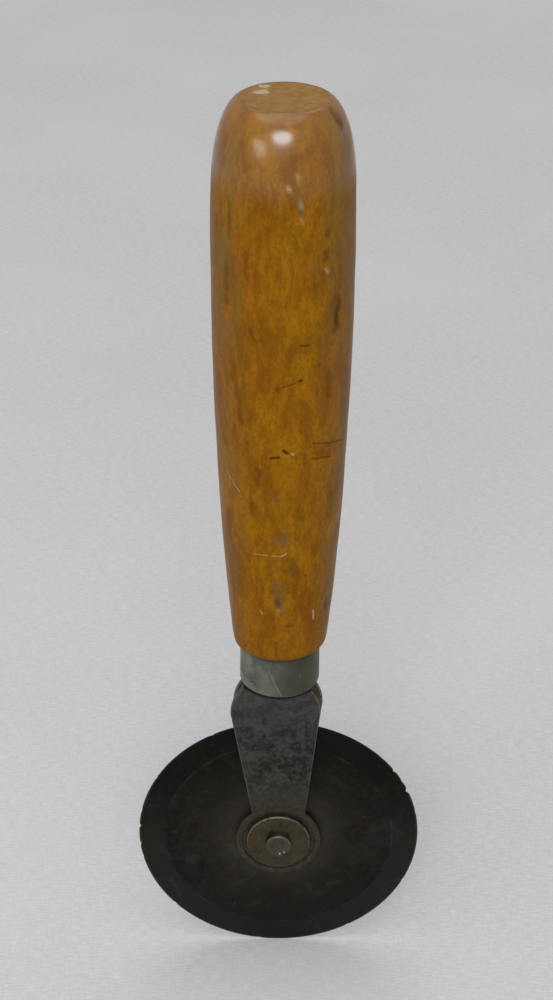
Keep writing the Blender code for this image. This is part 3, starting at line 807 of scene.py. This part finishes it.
def rust_from_axle(tree, place, wobble, base):
    """Rust from the axle outwards, redder close in and olive further out."""
    rust = rust_on(tree, place, 130.0, 0.52, 0.16)
    near = ramp(tree, wobble, 18.5 * MM, 10.5 * MM)
    patches = noise(tree, lengthen(tree, place, 1.5), 120.0, 6.0, 0.65, 0.8)
    patches = times(tree, ramp(tree, patches, 0.50, 0.62), ramp(tree, wobble, 30.0 * MM, 17.0 * MM))
    base = tint(tree, base, patches, 0.60, colour(0.036, 0.019, 0.0105))
    olive = ramp(tree, noise(tree, place, 105.0, 6.0, 0.65, 0.9), 0.53, 0.66)
    base = tint(tree, base, olive, 0.60, colour(0.024, 0.023, 0.011))
    far = ramp(tree, wobble, 29.0 * MM, 18.0 * MM)
    base = tint(tree, base, times(tree, far, rust["Rust"]), 0.55, colour(0.024, 0.020, 0.011))
    base = tint(tree, base, times(tree, near, rust["Speckle"]), 0.75, colour(0.038, 0.025, 0.0110))
    specks = ramp(tree, noise(tree, place, 1150.0, 1.0), 0.765, 0.79)
    base = tint(tree, base, specks, 0.45, colour(0.120, 0.092, 0.068))
    return base, rust, near


def ground_bevel(tree, place, spot, radius, masks, base):
    """The bevel, its inner line and the rubbed rim."""
    tone, clouds, fine = masks
    bevel = ramp(tree, radius, BEVEL_START - 0.1 * MM, BEVEL_START + 0.2 * MM)
    # Painted light and shade on the bevel: paler below, darker towards the top; the pale smears keep to
    # the lower part
    upper = ramp(tree, spot[2], -8.0 * MM, 18.0 * MM)
    ground = blend(tree, upper, colour(0.0230, 0.0230, 0.0180), colour(0.0050, 0.0052, 0.0030))
    uneven = ramp(tree, tone, 0.36, 0.62, 0.85, 0.30)
    base = tint(tree, base, bevel, uneven, ground)
    smears = ramp(tree, noise(tree, place, 150.0, 5.0, 0.6, 1.2), 0.55, 0.68)
    smears = times(tree, smears, minus(tree, 1.0, upper))
    base = tint(tree, base, smears, 0.45, colour(0.040, 0.041, 0.035))
    line = ramp(tree, radius, BEVEL_START - 0.4 * MM, BEVEL_START - 0.05 * MM)
    line = times(tree, line, ramp(tree, radius, BEVEL_START + 0.3 * MM, BEVEL_START))
    line = times(tree, line, ramp(tree, clouds, 0.42, 0.60))
    base = tint(tree, base, line, 0.45, colour(0.060, 0.050, 0.042))
    rim = times_plus(tree, fine, 0.5 * MM, radius)
    rim = ramp(tree, rim, BLADE_RADIUS - 0.25 * MM, BLADE_RADIUS + 0.15 * MM)
    rim = times(tree, rim, ramp(tree, spot[2], 10.0 * MM, 32.0 * MM, 0.45, 0.15))
    base = blend(tree, rim, base, colour(0.150, 0.098, 0.074))
    return base


def blade_steel():
    made, tree, shader, place = new_material("blade_steel")
    centred = put(tree, "ShaderNodeMapping", {"Vector": place, "Location": -AXLE}).outputs[0]
    spot = split(tree, centred)
    flat = vector_calc(tree, "MULTIPLY", centred, (1.0, 0.0, 1.0))
    radius = length_of(tree, flat)
    clouds = noise(tree, place, 85.0, 7.0, 0.64, 0.6)
    fine = noise(tree, place, 900.0, 4.0, 0.6)
    wobble = times_plus(tree, minus(tree, clouds, 0.5), 9.0 * MM, radius)

    tone = plus(tree, times(tree, clouds, 0.6), times(tree, fine, 0.4))
    base = two_tone(tree, tone, 0.36, 0.64, colour(0.0056, 0.0056, 0.0042), colour(0.020, 0.020, 0.0165))
    # Painted light and shade: paler and bluer towards the bottom, darker towards the top
    painted_low_light = ramp(tree, times_plus(tree, clouds, 12.0 * MM, spot[2]), -2.0 * MM, -22.0 * MM)
    base = tint(tree, base, painted_low_light, 0.65, colour(0.0165, 0.0175, 0.0170))
    shade = ramp(tree, times_plus(tree, clouds, 9.0 * MM, spot[2]), 8.0 * MM, 28.0 * MM)
    base = tint(tree, base, shade, 0.75, colour(0.0050, 0.0048, 0.0024))
    base, rust, near = rust_from_axle(tree, place, wobble, base)

    # Scratches round the disc from use, and a few straight ones
    turn = calc(tree, "ARCTAN2", spot[2], spot[0])
    rings = put(tree, "ShaderNodeCombineXYZ", {0: radius, 1: times(tree, turn, 0.4 * MM)})
    rings = noise(tree, rings.outputs[0], 1400.0, 3.0, 0.6)
    rings = ramp(tree, rings, 0.60, 0.72)
    lines = scratches_on(tree, place, -38.0, 520.0, 0.30)
    base = tint(tree, base, rings, 0.16, colour(0.050, 0.047, 0.040))
    base = tint(tree, base, lines, 0.40, colour(0.070, 0.067, 0.056))

    base = ground_bevel(tree, place, spot, radius, (tone, clouds, fine), base)
    rough = times_plus(tree, tone, 0.25, 0.30)
    rough = times_plus(tree, near, 0.12, rough)
    metal = minus(tree, 0.85, times(tree, near, 0.30))
    height = times_plus(tree, rings, -0.3, times(tree, fine, 0.4))
    height = times_plus(tree, lines, -0.4, height)
    height = times_plus(tree, times(tree, near, rust["Speckle"]), 0.8, height)
    finish_material(tree, shader, base, rough, metal, height, 0.03 * MM)
    return made


def axle_steel():
    made, tree, shader, place = new_material("axle_steel")
    spot = split(tree, place)
    worn, lines = steel_parts(tree, place, (0.0, 1.0, 0.0), 0.70)
    rust = rust_on(tree, place, 330.0, 0.55, 0.14)
    fine = noise(tree, place, 1300.0, 4.0, 0.6)
    base = two_tone(tree, fine, 0.35, 0.65, colour(0.034, 0.027, 0.0145), colour(0.064, 0.051, 0.028))
    base = tint(tree, base, rust["Rust"], 0.60, colour(0.046, 0.028, 0.011))
    base = tint(tree, base, lines, 0.25, colour(0.095, 0.083, 0.060))
    # Worn rims, made brighter towards their tops as a painted highlight
    high = ramp(tree, spot[2], AXLE.z - 3.0 * MM, AXLE.z + 6.0 * MM, 0.35, 1.0)
    base = tint(tree, base, times(tree, worn, high), 0.85, colour(0.170, 0.150, 0.115))
    face = put(tree, "ShaderNodeCombineXYZ", {0: spot[0], 1: spot[2]}).outputs[0]
    head = ramp(tree, spot[1], -CHEEK_OUTER - 1.5 * MM, -CHEEK_OUTER - 2.0 * MM)
    base = tint(tree, base, head, 0.45, colour(0.072, 0.070, 0.052))
    # Painted glints: two small bright spots on the made head, over two of its burrs
    half_width = 0.17 * MM
    for across, up in ((0.35, -2.15), (1.45, -1.70)):
        glint_place = (across * MM, AXLE.z + up * MM, 0.0)
        painted_glint = one_mark(tree, face, glint_place, glint_place, half_width, 0.6)
        base = tint(tree, base, painted_glint, head, colour(0.620, 0.620, 0.600))
    rough = times_plus(tree, rust["Rust"], 0.15, 0.36)
    metal = minus(tree, 0.85, times(tree, rust["Rust"], 0.35))
    height = times_plus(tree, fine, 0.5, times(tree, rust["Speckle"], 0.4))
    finish_material(tree, shader, base, rough, metal, height, 0.04 * MM)
    return made


def inner_steel():
    made, tree, shader, place = new_material("inner_steel")
    worn, lines = steel_parts(tree, place, (0.0, 1.0, 0.0), 0.60)
    rust = rust_on(tree, place, 260.0, 0.50, 0.12)
    base = blend(tree, rust["Speckle"], colour(0.090, 0.080, 0.066), colour(0.210, 0.200, 0.180))
    base = tint(tree, base, rust["Rust"], 0.70, colour(0.085, 0.050, 0.026))
    base = tint(tree, base, larger(tree, worn, lines), 0.35, colour(0.35, 0.35, 0.35))
    rough = times_plus(tree, rust["Rust"], 0.20, 0.38)
    metal = minus(tree, 0.90, times(tree, rust["Rust"], 0.45))
    finish_material(tree, shader, base, rough, metal, rust["Speckle"], 0.02 * MM)
    return made


# ---------------------------------------------------------------------------
# Bench work


def clear_selection():
    if bpy.context.object and bpy.context.object.mode != "OBJECT":
        bpy.ops.object.mode_set(mode="OBJECT")
    bpy.ops.object.select_all(action="DESELECT")


def open_edit():
    bpy.ops.object.mode_set(mode="EDIT")
    bpy.ops.mesh.select_mode(type="VERT")


def close_edit():
    bpy.ops.object.mode_set(mode="OBJECT")


def pick(test):
    """Selects the corners of the open piece whose place passes the test."""
    piece = bpy.context.edit_object
    mesh = bmesh.from_edit_mesh(piece.data)
    for part in (mesh.faces, mesh.edges, mesh.verts):
        for item in part:
            item.select_set(False)
    for corner in mesh.verts:
        if test(corner.co):
            corner.select_set(True)
    mesh.select_flush_mode()
    bmesh.update_edit_mesh(piece.data)


def pick_all():
    bpy.ops.mesh.select_all(action="SELECT")


def select_only(piece):
    clear_selection()
    piece.select_set(True)
    bpy.context.view_layer.objects.active = piece


def draw_line(name, points, closed):
    """Starts from a small plate merged to a point, and extrudes it from place to place."""
    clear_selection()
    bpy.ops.mesh.primitive_plane_add(size=MM)
    piece = bpy.context.object
    piece.name = name
    piece.data.name = name
    open_edit()
    bpy.ops.mesh.merge(type="CENTER")
    bpy.ops.transform.translate(value=points[0])
    for here, there in zip(points, points[1:]):
        step = [there[i] - here[i] for i in range(3)]
        bpy.ops.mesh.extrude_region_move(TRANSFORM_OT_translate={"value": step})
    if closed:
        first, last = Vector(points[0]), Vector(points[-1])
        pick(lambda co: (co - first).length < 1e-7 or (co - last).length < 1e-7)
        bpy.ops.mesh.edge_face_add()
    pick_all()
    return piece


def turn_on_lathe(name, profile, axis, centre, steps):
    """Spins a half section, given as radius and distance along the axis, into a closed piece."""
    if axis == "Z":
        points = [(radius + centre[0], centre[1], along + centre[2]) for radius, along in profile]
    else:
        points = [(radius + centre[0], along + centre[1], centre[2]) for radius, along in profile]
    piece = draw_line(name, points, closed=profile[0][0] > 0.0)
    spin_axis = (0.0, 0.0, 1.0) if axis == "Z" else (0.0, 1.0, 0.0)
    bpy.ops.mesh.spin(steps=steps, angle=2 * math.pi, center=centre, axis=spin_axis, use_auto_merge=True)
    pick_all()
    bpy.ops.mesh.remove_doubles(threshold=1e-6)
    bpy.ops.mesh.normals_make_consistent(inside=False)
    return piece


def arc(centre, reach, start, end, steps):
    """Points of a quarter or part of an ellipse in a half section; angles in degrees from outwards."""
    points = []
    for step in range(steps + 1):
        angle = math.radians(start + (end - start) * step / steps)
        points.append((centre[0] + reach[0] * math.cos(angle), centre[1] + reach[1] * math.sin(angle)))
    return points


def complete(piece, material, slot, body, *nodes, angle=30.0):
    """Closes the piece, rounds its shading, gives it its finish and its body, and hides the CAD pieces it
    stands for.
    """
    close_edit()
    select_only(piece)
    bpy.ops.object.transform_apply(location=True, rotation=True, scale=True)
    bpy.ops.object.shade_smooth_by_angle(angle=math.radians(angle))
    piece.data.materials.clear()
    piece.data.materials.append(material)
    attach(piece, body)
    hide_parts(*nodes)


def add_modifier(piece, kind, **settings):
    """Adds a modifier, sets it and applies it."""
    close_edit()
    select_only(piece)
    made = piece.modifiers.new(kind.lower(), kind)
    for name, value in settings.items():
        setattr(made, name, value)
    bpy.ops.object.modifier_apply(modifier=made.name)
    open_edit()


def cut_with(piece, cutter):
    """Cuts the piece with another closed piece, which is then thrown away."""
    close_edit()
    add_modifier(piece, "BOOLEAN", operation="DIFFERENCE", solver="EXACT", object=cutter)
    close_edit()
    bpy.data.objects.remove(cutter)
    select_only(piece)
    open_edit()


def rod(name, radius, length, place, turn, corners=48):
    """A plain round cutter."""
    clear_selection()
    bpy.ops.mesh.primitive_cylinder_add(
        vertices=corners, radius=radius, depth=length, location=place, rotation=turn
    )
    cutter = bpy.context.object
    cutter.name = name
    bpy.ops.object.transform_apply(location=True, rotation=True, scale=True)
    return cutter


def wear_picked(piece, name, size, mid_level, strength):
    """Moves the picked corners in and out by soft clouds of the given size."""
    bpy.ops.object.vertex_group_add()
    piece.vertex_groups.active.name = "outside"
    bpy.ops.object.vertex_group_assign()
    clouds = bpy.data.textures.new(name, "CLOUDS")
    clouds.noise_scale = size
    add_modifier(
        piece,
        "DISPLACE",
        texture=clouds,
        texture_coords="LOCAL",
        vertex_group="outside",
        mid_level=mid_level,
        strength=strength,
    )


def press(push, reach, falloff="SMOOTH"):
    """Pushes the picked corners, and with them the surface within reach, less and less."""
    bpy.ops.transform.translate(
        value=push,
        use_proportional_edit=True,
        proportional_edit_falloff=falloff,
        proportional_size=reach,
        use_proportional_connected=True,
    )


# ---------------------------------------------------------------------------
# The pieces


def handle_radius(height):
    """The wood's radius below the shoulder: a long swell to the belly, then a slight fall."""
    start = HANDLE_BASE + BASE_ROUNDING
    belly = HANDLE_BASE + 97.0 * MM
    if height < belly:
        share = max(0.0, (height - start) / (belly - start))
        return BASE_RADIUS + (BELLY_RADIUS - BASE_RADIUS) * math.sin(math.pi / 2 * share**0.86)
    fall = (height - belly) / (HANDLE_SHOULDER - belly)
    return BELLY_RADIUS - 0.25 * MM * fall**2


# Dents pressed into the wood: degrees round from the front, height, depth and reach in millimetres
DENTS = (
    (14, 208.8, 0.30, 1.6),
    (10, 216.5, 0.18, 1.6),
    (46, 184.0, 0.30, 4.0),
    (-15, 181.0, 0.20, 3.0),
    (16, 171.0, 0.25, 1.3),
    (4, 153.5, 0.25, 1.5),
    (35, 153.0, 0.22, 3.0),
    (-2, 113.5, 0.45, 3.0),
    (4, 130.2, 0.28, 3.0),
    (60, 109.0, 0.30, 2.2),
    (-62, 123.0, 0.25, 5.0),
    (70, 222.0, 0.30, 3.0),
    (155, 188.0, 0.30, 3.0),
    (-120, 160.0, 0.25, 2.5),
    (168, 139.5, 0.25, 2.0),
    (-159, 116.0, 0.35, 3.0),
    (120, 203.0, 0.30, 3.5),
)


def turn_handle(material):
    tenon_end = MOUTH + 0.9 * MM
    bore_end = TAIL_TOP + CLOSE_FIT
    spike_end = SPIKE_TOP + CLOSE_FIT
    spike_bore = 2.53 * MM
    tail_bore = 5.29 * MM
    tenon = 8.5 * MM
    profile = [
        (0.0, spike_end),
        (spike_bore, spike_end),
        (spike_bore, bore_end),
        (tail_bore, bore_end),
        (tail_bore, tenon_end),
        (tenon, tenon_end),
        (tenon, HANDLE_BASE),
    ]
    start = HANDLE_BASE + BASE_ROUNDING
    profile += arc((BASE_RADIUS - BASE_ROUNDING, start), (BASE_ROUNDING, BASE_ROUNDING), -90, 0, 6)
    stations = 150
    for station in range(1, stations + 1):
        height = start + (HANDLE_SHOULDER - start) * station / stations
        profile.append((handle_radius(height), height))
    reach = handle_radius(HANDLE_SHOULDER) - BUTT_RADIUS
    profile += arc((BUTT_RADIUS, HANDLE_SHOULDER), (reach, SHOULDER_LENGTH), 0, 84, 22)[1:]
    edge = profile[-1]
    profile += [
        (edge[0] - 0.25 * MM, HANDLE_BUTT - 0.03 * MM),
        (edge[0] - 0.6 * MM, HANDLE_BUTT),
        (edge[0] - 1.1 * MM, HANDLE_BUTT - 0.03 * MM),
        (7.0 * MM, HANDLE_BUTT - 0.12 * MM),
        (4.5 * MM, HANDLE_BUTT - 0.18 * MM),
        (2.0 * MM, HANDLE_BUTT - 0.20 * MM),
        (0.0, HANDLE_BUTT - 0.20 * MM),
    ]
    handle = turn_on_lathe("turned_handle", profile, "Z", (0.0, 0.0, 0.0), 240)

    # Uneven wear from the hand, on the outside only
    pick(lambda co: co.z > HANDLE_BASE + 0.5 * MM and math.hypot(co.x, co.y) > handle_clear(co.z))
    wear_picked(handle, "hand_worn", 16.0 * MM, 0.5, 0.30 * MM)
    for turn, height, depth, reach in DENTS:
        angle = math.radians(turn)
        outwards = Vector((math.sin(angle), -math.cos(angle), 0.0))
        middle = outwards * outside_radius(height * MM) + Vector((0.0, 0.0, height * MM))
        pick(lambda co: (co - middle).length < 0.75 * MM)
        press(-outwards * depth * MM, reach * MM)
    complete(handle, material, "varnished_wood", "holder", "handle")
    paint_marks(handle, "bruised", DARK_MARKS)
    paint_marks(handle, "reddish", REDDISH_MARKS)
    paint_marks(handle, "smudged", GREY_MARKS)
    paint_marks(handle, "bare", PALE_MARKS)


def paint_marks(handle, name, marks):
    """Writes how strongly each corner of the wood is marked, with ragged borders."""
    layer = handle.data.attributes.new(name, "FLOAT", "POINT")
    strokes = []
    for turn, height, far_turn, far_height, half_width, softness, strength in marks:
        if half_width > FINE_MARK:
            near = on_skin(turn, height)
            far = on_skin(far_turn, far_height)
            strokes.append((near, far, half_width * MM, softness, strength))
    for corner in handle.data.vertices:
        if corner.co.z < HANDLE_BASE or math.hypot(corner.co.x, corner.co.y) < handle_clear(corner.co.z):
            continue
        here = Vector((math.atan2(corner.co.x, -corner.co.y) * SKIN_RADIUS, corner.co.z, 0.0))
        ragged = noise_at(corner.co * 520.0) + 0.6 * noise_at(corner.co * 1400.0)
        strongest = 0.0
        for near, far, half_width, softness, strength in strokes:
            if abs(here.y - near.y) > 8.0 * MM:
                continue
            line = far - near
            share = min(max((here - near).dot(line) / (line.length_squared + 1e-12), 0.0), 1.0)
            gap = (here - near - line * share).length + ragged * 0.9 * half_width
            fade = (half_width * (1 + softness) - gap) / (2 * half_width * softness)
            fade = min(max(fade, 0.0), 1.0)
            strongest = max(strongest, strength * fade * fade * (3 - 2 * fade))
        layer.data[corner.index].value = strongest


def handle_clear(height):
    """A radius between the bores and the outside; at the butt every corner is outside."""
    if height > HANDLE_BUTT - 1.0 * MM:
        return -1.0
    return 6.5 * MM if height > HANDLE_BASE else 9.0 * MM


def outside_radius(height):
    """The wood's radius anywhere, the rounding to the butt included."""
    if height <= HANDLE_SHOULDER:
        return handle_radius(height)
    share = (height - HANDLE_SHOULDER) / SHOULDER_LENGTH
    reach = handle_radius(HANDLE_SHOULDER) - BUTT_RADIUS
    return BUTT_RADIUS + reach * math.sqrt(max(0.0, 1.0 - share * share))


def roll_ferrule(material):
    """A short tube with rounded rims, a little out of true, and a hole for its brad."""
    wall = 0.8 * MM
    outer = FERRULE_RADIUS
    inner = outer - wall
    top = FERRULE_TOP + 0.12 * MM
    rim = 0.35 * MM
    profile = [(inner, MOUTH + 0.15 * MM), (inner + 0.15 * MM, MOUTH)]
    profile += arc((outer - rim, MOUTH + rim), (rim, rim), -90, 0, 5)
    profile += [(outer, MOUTH + rim + (top - MOUTH - 2 * rim) * step / 24) for step in range(1, 24)]
    profile += arc((outer - rim, top - rim), (rim, rim), 0, 90, 5)
    profile += [(inner + 0.15 * MM, top), (inner, top - 0.15 * MM)]
    ferrule = turn_on_lathe("ferrule_tube", profile, "Z", (0.0, 0.0, 0.0), 144)
    pick(lambda co: math.hypot(co.x, co.y) > inner + 0.4 * MM)
    wear_picked(ferrule, "ferrule_knocks", 6.0 * MM, 1.0, 0.12 * MM)
    angle = math.radians(-42.0)
    outwards = Vector((math.sin(angle), -math.cos(angle), 0.0))
    place = outwards * (outer - wall / 2) + Vector((0.0, 0.0, MOUTH + 2.3 * MM))
    turn = outwards.to_track_quat("Z", "Y").to_euler()
    cut_with(ferrule, rod("brad_drill", 0.68 * MM, 3.0 * MM, place, turn))
    complete(ferrule, material, "ferrule_steel", "holder", "ferrule")


def cheek_outline():
    """The stamping flat: round eye, widening arm, round shoulders, neck under the ferrule, tail."""
    foot_half = 6.6 * MM
    foot = math.sqrt(EYE_RADIUS**2 - foot_half**2)
    sweep = math.degrees(math.atan2(foot, foot_half))
    side = arc((0.0, AXLE.z), (EYE_RADIUS, EYE_RADIUS), -90, sweep, 44)
    shoulder_half = 10.85 * MM
    rounding = 11.0 * MM
    side += arc((shoulder_half - rounding, CHEEK_SHOULDER), (rounding, rounding), 0, 36, 12)
    neck_half = 7.91 * MM
    tail_half = 4.0 * MM
    step_height = MOUTH + 0.7 * MM
    side += [(neck_half, MOUTH), (neck_half, step_height)]
    side += [(tail_half, step_height), (tail_half, TAIL_TOP)]
    return side + [(-x, z) for x, z in reversed(side[1:])]


def stamp_cheek_blank():
    """The flat plate on the front side, before its shoulders are set and its eye is sunk."""
    points = [(x, -CHEEK_OUTER, z) for x, z in cheek_outline()]
    blank = draw_line("front_fork_cheek", points, closed=True)
    pick_all()
    bpy.ops.mesh.edge_face_add()
    bpy.ops.mesh.extrude_region_move(TRANSFORM_OT_translate={"value": (0.0, CHEEK_THICKNESS, 0.0)})
    pick_all()
    bpy.ops.mesh.normals_make_consistent(inside=False)
    return blank


def shape_cheek(cheek, side, lean):
    """Sets the neck outwards, moves the shoulders a little over, rounds the edges and sinks the eye."""
    eye_top = AXLE.z + EYE_RADIUS
    just_below = CHEEK_SHOULDER - 0.01 * MM
    pick(lambda co: just_below < co.z < MOUTH - 1.0 * MM)
    bpy.ops.transform.translate(value=(lean, 0.0, 0.0))
    for height in (eye_top, CHEEK_SHOULDER):
        pick_all()
        bpy.ops.mesh.bisect(plane_co=(0.0, 0.0, height), plane_no=(0.0, 0.0, 1.0))
    pick(lambda co: co.z > just_below)
    bpy.ops.transform.translate(value=(0.0, side * NECK_SET, 0.0))
    add_modifier(
        cheek, "BEVEL", width=0.34 * MM, segments=3, limit_method="ANGLE", angle_limit=math.radians(40.0)
    )
    face = side * CHEEK_OUTER
    flat_turn = (math.pi / 2, 0.0, 0.0)
    sinker_length = 2.0 * MM
    sinker_place = (0.0, face + side * (sinker_length / 2 - SEAT_DEPTH), AXLE.z)
    cut_with(cheek, rod("eye_sinker", 9.1 * MM, sinker_length, sinker_place, flat_turn, 128))
    cut_with(cheek, rod("axle_drill", AXLE_HOLE_RADIUS, 8.0 * MM, (0.0, face, AXLE.z), flat_turn, 64))
    for above_mouth in (15.0 * MM, 28.0 * MM):
        place = (0.0, side * 2.5 * MM, MOUTH + above_mouth)
        cut_with(cheek, rod("rivet_drill", 1.4 * MM, 4.0 * MM, place, flat_turn, 24))
    add_modifier(
        cheek, "BEVEL", width=0.12 * MM, segments=2, limit_method="ANGLE", angle_limit=math.radians(55.0)
    )


def make_cheeks(material):
    blank = stamp_cheek_blank()
    close_edit()
    select_only(blank)
    bpy.ops.object.duplicate()
    rear = bpy.context.object
    rear.name = "rear_fork_cheek"
    rear.data.name = "rear_fork_cheek"
    select_only(rear)
    open_edit()
    pick_all()
    bpy.ops.transform.rotate(value=math.pi, orient_axis="Z", center_override=(0.0, 0.0, 0.0))
    shape_cheek(rear, 1.0, -0.35 * MM)
    complete(rear, material, "cheek_steel", "holder", "rear_cheek")
    select_only(blank)
    open_edit()
    shape_cheek(blank, -1.0, -0.95 * MM)
    complete(blank, material, "cheek_steel", "holder", "front_cheek")


def turn_washer(name, side, material, node):
    """A slightly domed washer with a rounded rim, in the eye's recess."""
    inner = AXLE_HOLE_RADIUS
    outer = 7.95 * MM
    back = CHEEK_OUTER - SEAT_DEPTH + HAIR
    dome = 0.10 * MM
    rim = 0.40 * MM
    profile = [(inner, -back), (inner, -WASHER_FACE)]
    for share in (1 / 6, 2 / 6, 3 / 6, 4 / 6, 5 / 6):
        profile.append((inner + (outer - rim - inner) * share, -WASHER_FACE + dome * share**2))
    profile += arc((outer - rim, -WASHER_FACE + dome + rim), (rim, rim), -90, 0, 6)
    profile += [(outer, -back - 0.1 * MM), (outer - 0.1 * MM, -back)]
    washer = turn_on_lathe(name, profile, "Y", tuple(AXLE), 128)
    if side > 0:
        pick_all()
        bpy.ops.transform.rotate(value=math.pi, orient_axis="Z", center_override=(0.0, 0.0, 0.0))
    complete(washer, material, "axle_steel", "holder", node)


def set_rivet(material):
    """The rivet with its made head in front, a little dished, and its hammered tail behind."""
    head_back = WASHER_FACE + HAIR
    head_face = 5.1 * MM
    shank = 2.1 * MM
    head = 3.2 * MM
    rim = 0.55 * MM
    dish = ((0.0, 0.22), (1.2, 0.20), (1.9, 0.10), (2.3, 0.01))
    profile = [(radius * MM, -head_face + depth * MM) for radius, depth in dish]
    profile += arc((head - rim, -head_face + rim), (rim, rim), -90, 0, 7)
    profile += [(head, -head_back), (shank, -head_back), (shank, head_back)]
    tail = 3.6 * MM
    tail_side = head_back + 0.12 * MM
    tail_dome = 0.95 * MM
    profile += [(tail * 0.97, head_back), (tail, tail_side)]
    profile += arc((0.0, tail_side), (tail, tail_dome), 0, 90, 12)[1:-1]
    profile += [(0.0, tail_side + tail_dome)]
    rivet = turn_on_lathe("axle_rivet_head", profile, "Y", tuple(AXLE), 96)
    # Two small burrs and a dent on the made head, and hammer facets on the tail
    burrs = ((0.35, -2.15, 0.12, 0.7), (2.0, -1.45, 0.10, 0.6), (-1.6, 1.9, -0.12, 1.0))
    for across, up, out, reach in burrs:
        middle = Vector((across * MM, -head_face + 0.1 * MM, AXLE.z + up * MM))
        pick(lambda co: (co - middle).length < 0.32 * MM)
        press((0.0, -out * MM, 0.0), reach * MM)
    for across, up in ((1.2, 0.8), (-1.4, 0.3), (0.2, -1.7)):
        middle = Vector((across * MM, head_back + tail_dome, AXLE.z + up * MM))
        pick(lambda co: (co - middle).length < 0.6 * MM)
        press((0.0, -0.14 * MM, 0.0), 1.5 * MM)
    complete(rivet, material, "axle_steel", "holder", "axle_rivet", angle=40.0)


# Nicks in the blade's edge: degrees round from the right, depth and reach in millimetres
NICKS = (
    (35.5, 0.42, 1.0),
    (23.7, 0.50, 1.1),
    (29.0, 0.16, 1.2),
    (12.0, 0.14, 1.0),
    (176.0, 0.36, 0.9),
    (185.5, 0.30, 0.9),
    (168.0, 0.16, 1.2),
    (192.0, 0.14, 1.0),
    (150.0, 0.12, 0.9),
    (221.0, 0.16, 1.0),
    (262.0, 0.12, 1.2),
    (301.0, 0.15, 0.9),
    (335.0, 0.12, 1.1),
    (78.0, 0.14, 1.0),
    (118.0, 0.18, 1.1),
)


def grind_blade(material):
    half = 0.5 * MM
    edge = 0.05 * MM
    bore = 3.5 * MM
    soft = 0.08 * MM
    flats = [bore + soft + (BEVEL_START - bore - soft) * step / 6 for step in range(7)]
    slope = (half - edge) / (BLADE_RADIUS - BEVEL_START)
    steps = (1, 2, 3, 4, 5, 6, 7, 7.6, 8)
    bevels = [BEVEL_START + (BLADE_RADIUS - BEVEL_START) * step / 8 for step in steps]
    one = [(bore, -half + soft)] + [(radius, -half) for radius in flats]
    one += [(radius, -half + slope * (radius - BEVEL_START)) for radius in bevels]
    profile = one + [(radius, -along) for radius, along in reversed(one)]
    blade = turn_on_lathe("ground_blade", profile, "Y", tuple(AXLE), 600)
    for turn, depth, reach in NICKS:
        angle = math.radians(turn)
        outwards = Vector((math.cos(angle), 0.0, math.sin(angle)))
        middle = AXLE + outwards * BLADE_RADIUS
        pick(lambda co: (co - middle).length < 0.30 * MM)
        press(-outwards * depth * MM, reach * MM, "SHARP")
    complete(blade, material, "blade_steel", "blade", "blade", angle=25.0)


def refinish(material, *nodes):
    """Gives CAD pieces that stay as they are their real finish."""
    for node in nodes:
        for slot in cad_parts[node].material_slots:
            slot.material = material


def main():
    place_camera()
    light_studio()
    make_groups()
    lay_floor(floor_cloth())
    wood = varnished_wood()
    axle = axle_steel()
    turn_handle(wood)
    roll_ferrule(ferrule_steel())
    make_cheeks(cheek_steel())
    turn_washer("front_eye_washer", -1.0, axle, "front_axle_washer")
    turn_washer("rear_eye_washer", 1.0, axle, "rear_axle_washer")
    set_rivet(axle)
    grind_blade(blade_steel())
    hidden_steel = inner_steel()
    refinish(
        hidden_steel,
        "ferrule_brad",
        "tang",
        "lower_tang_rivet",
        "upper_tang_rivet",
        "axle_sleeve",
        "front_thrust_washer",
        "rear_thrust_washer",
    )
    clear_selection()


main()
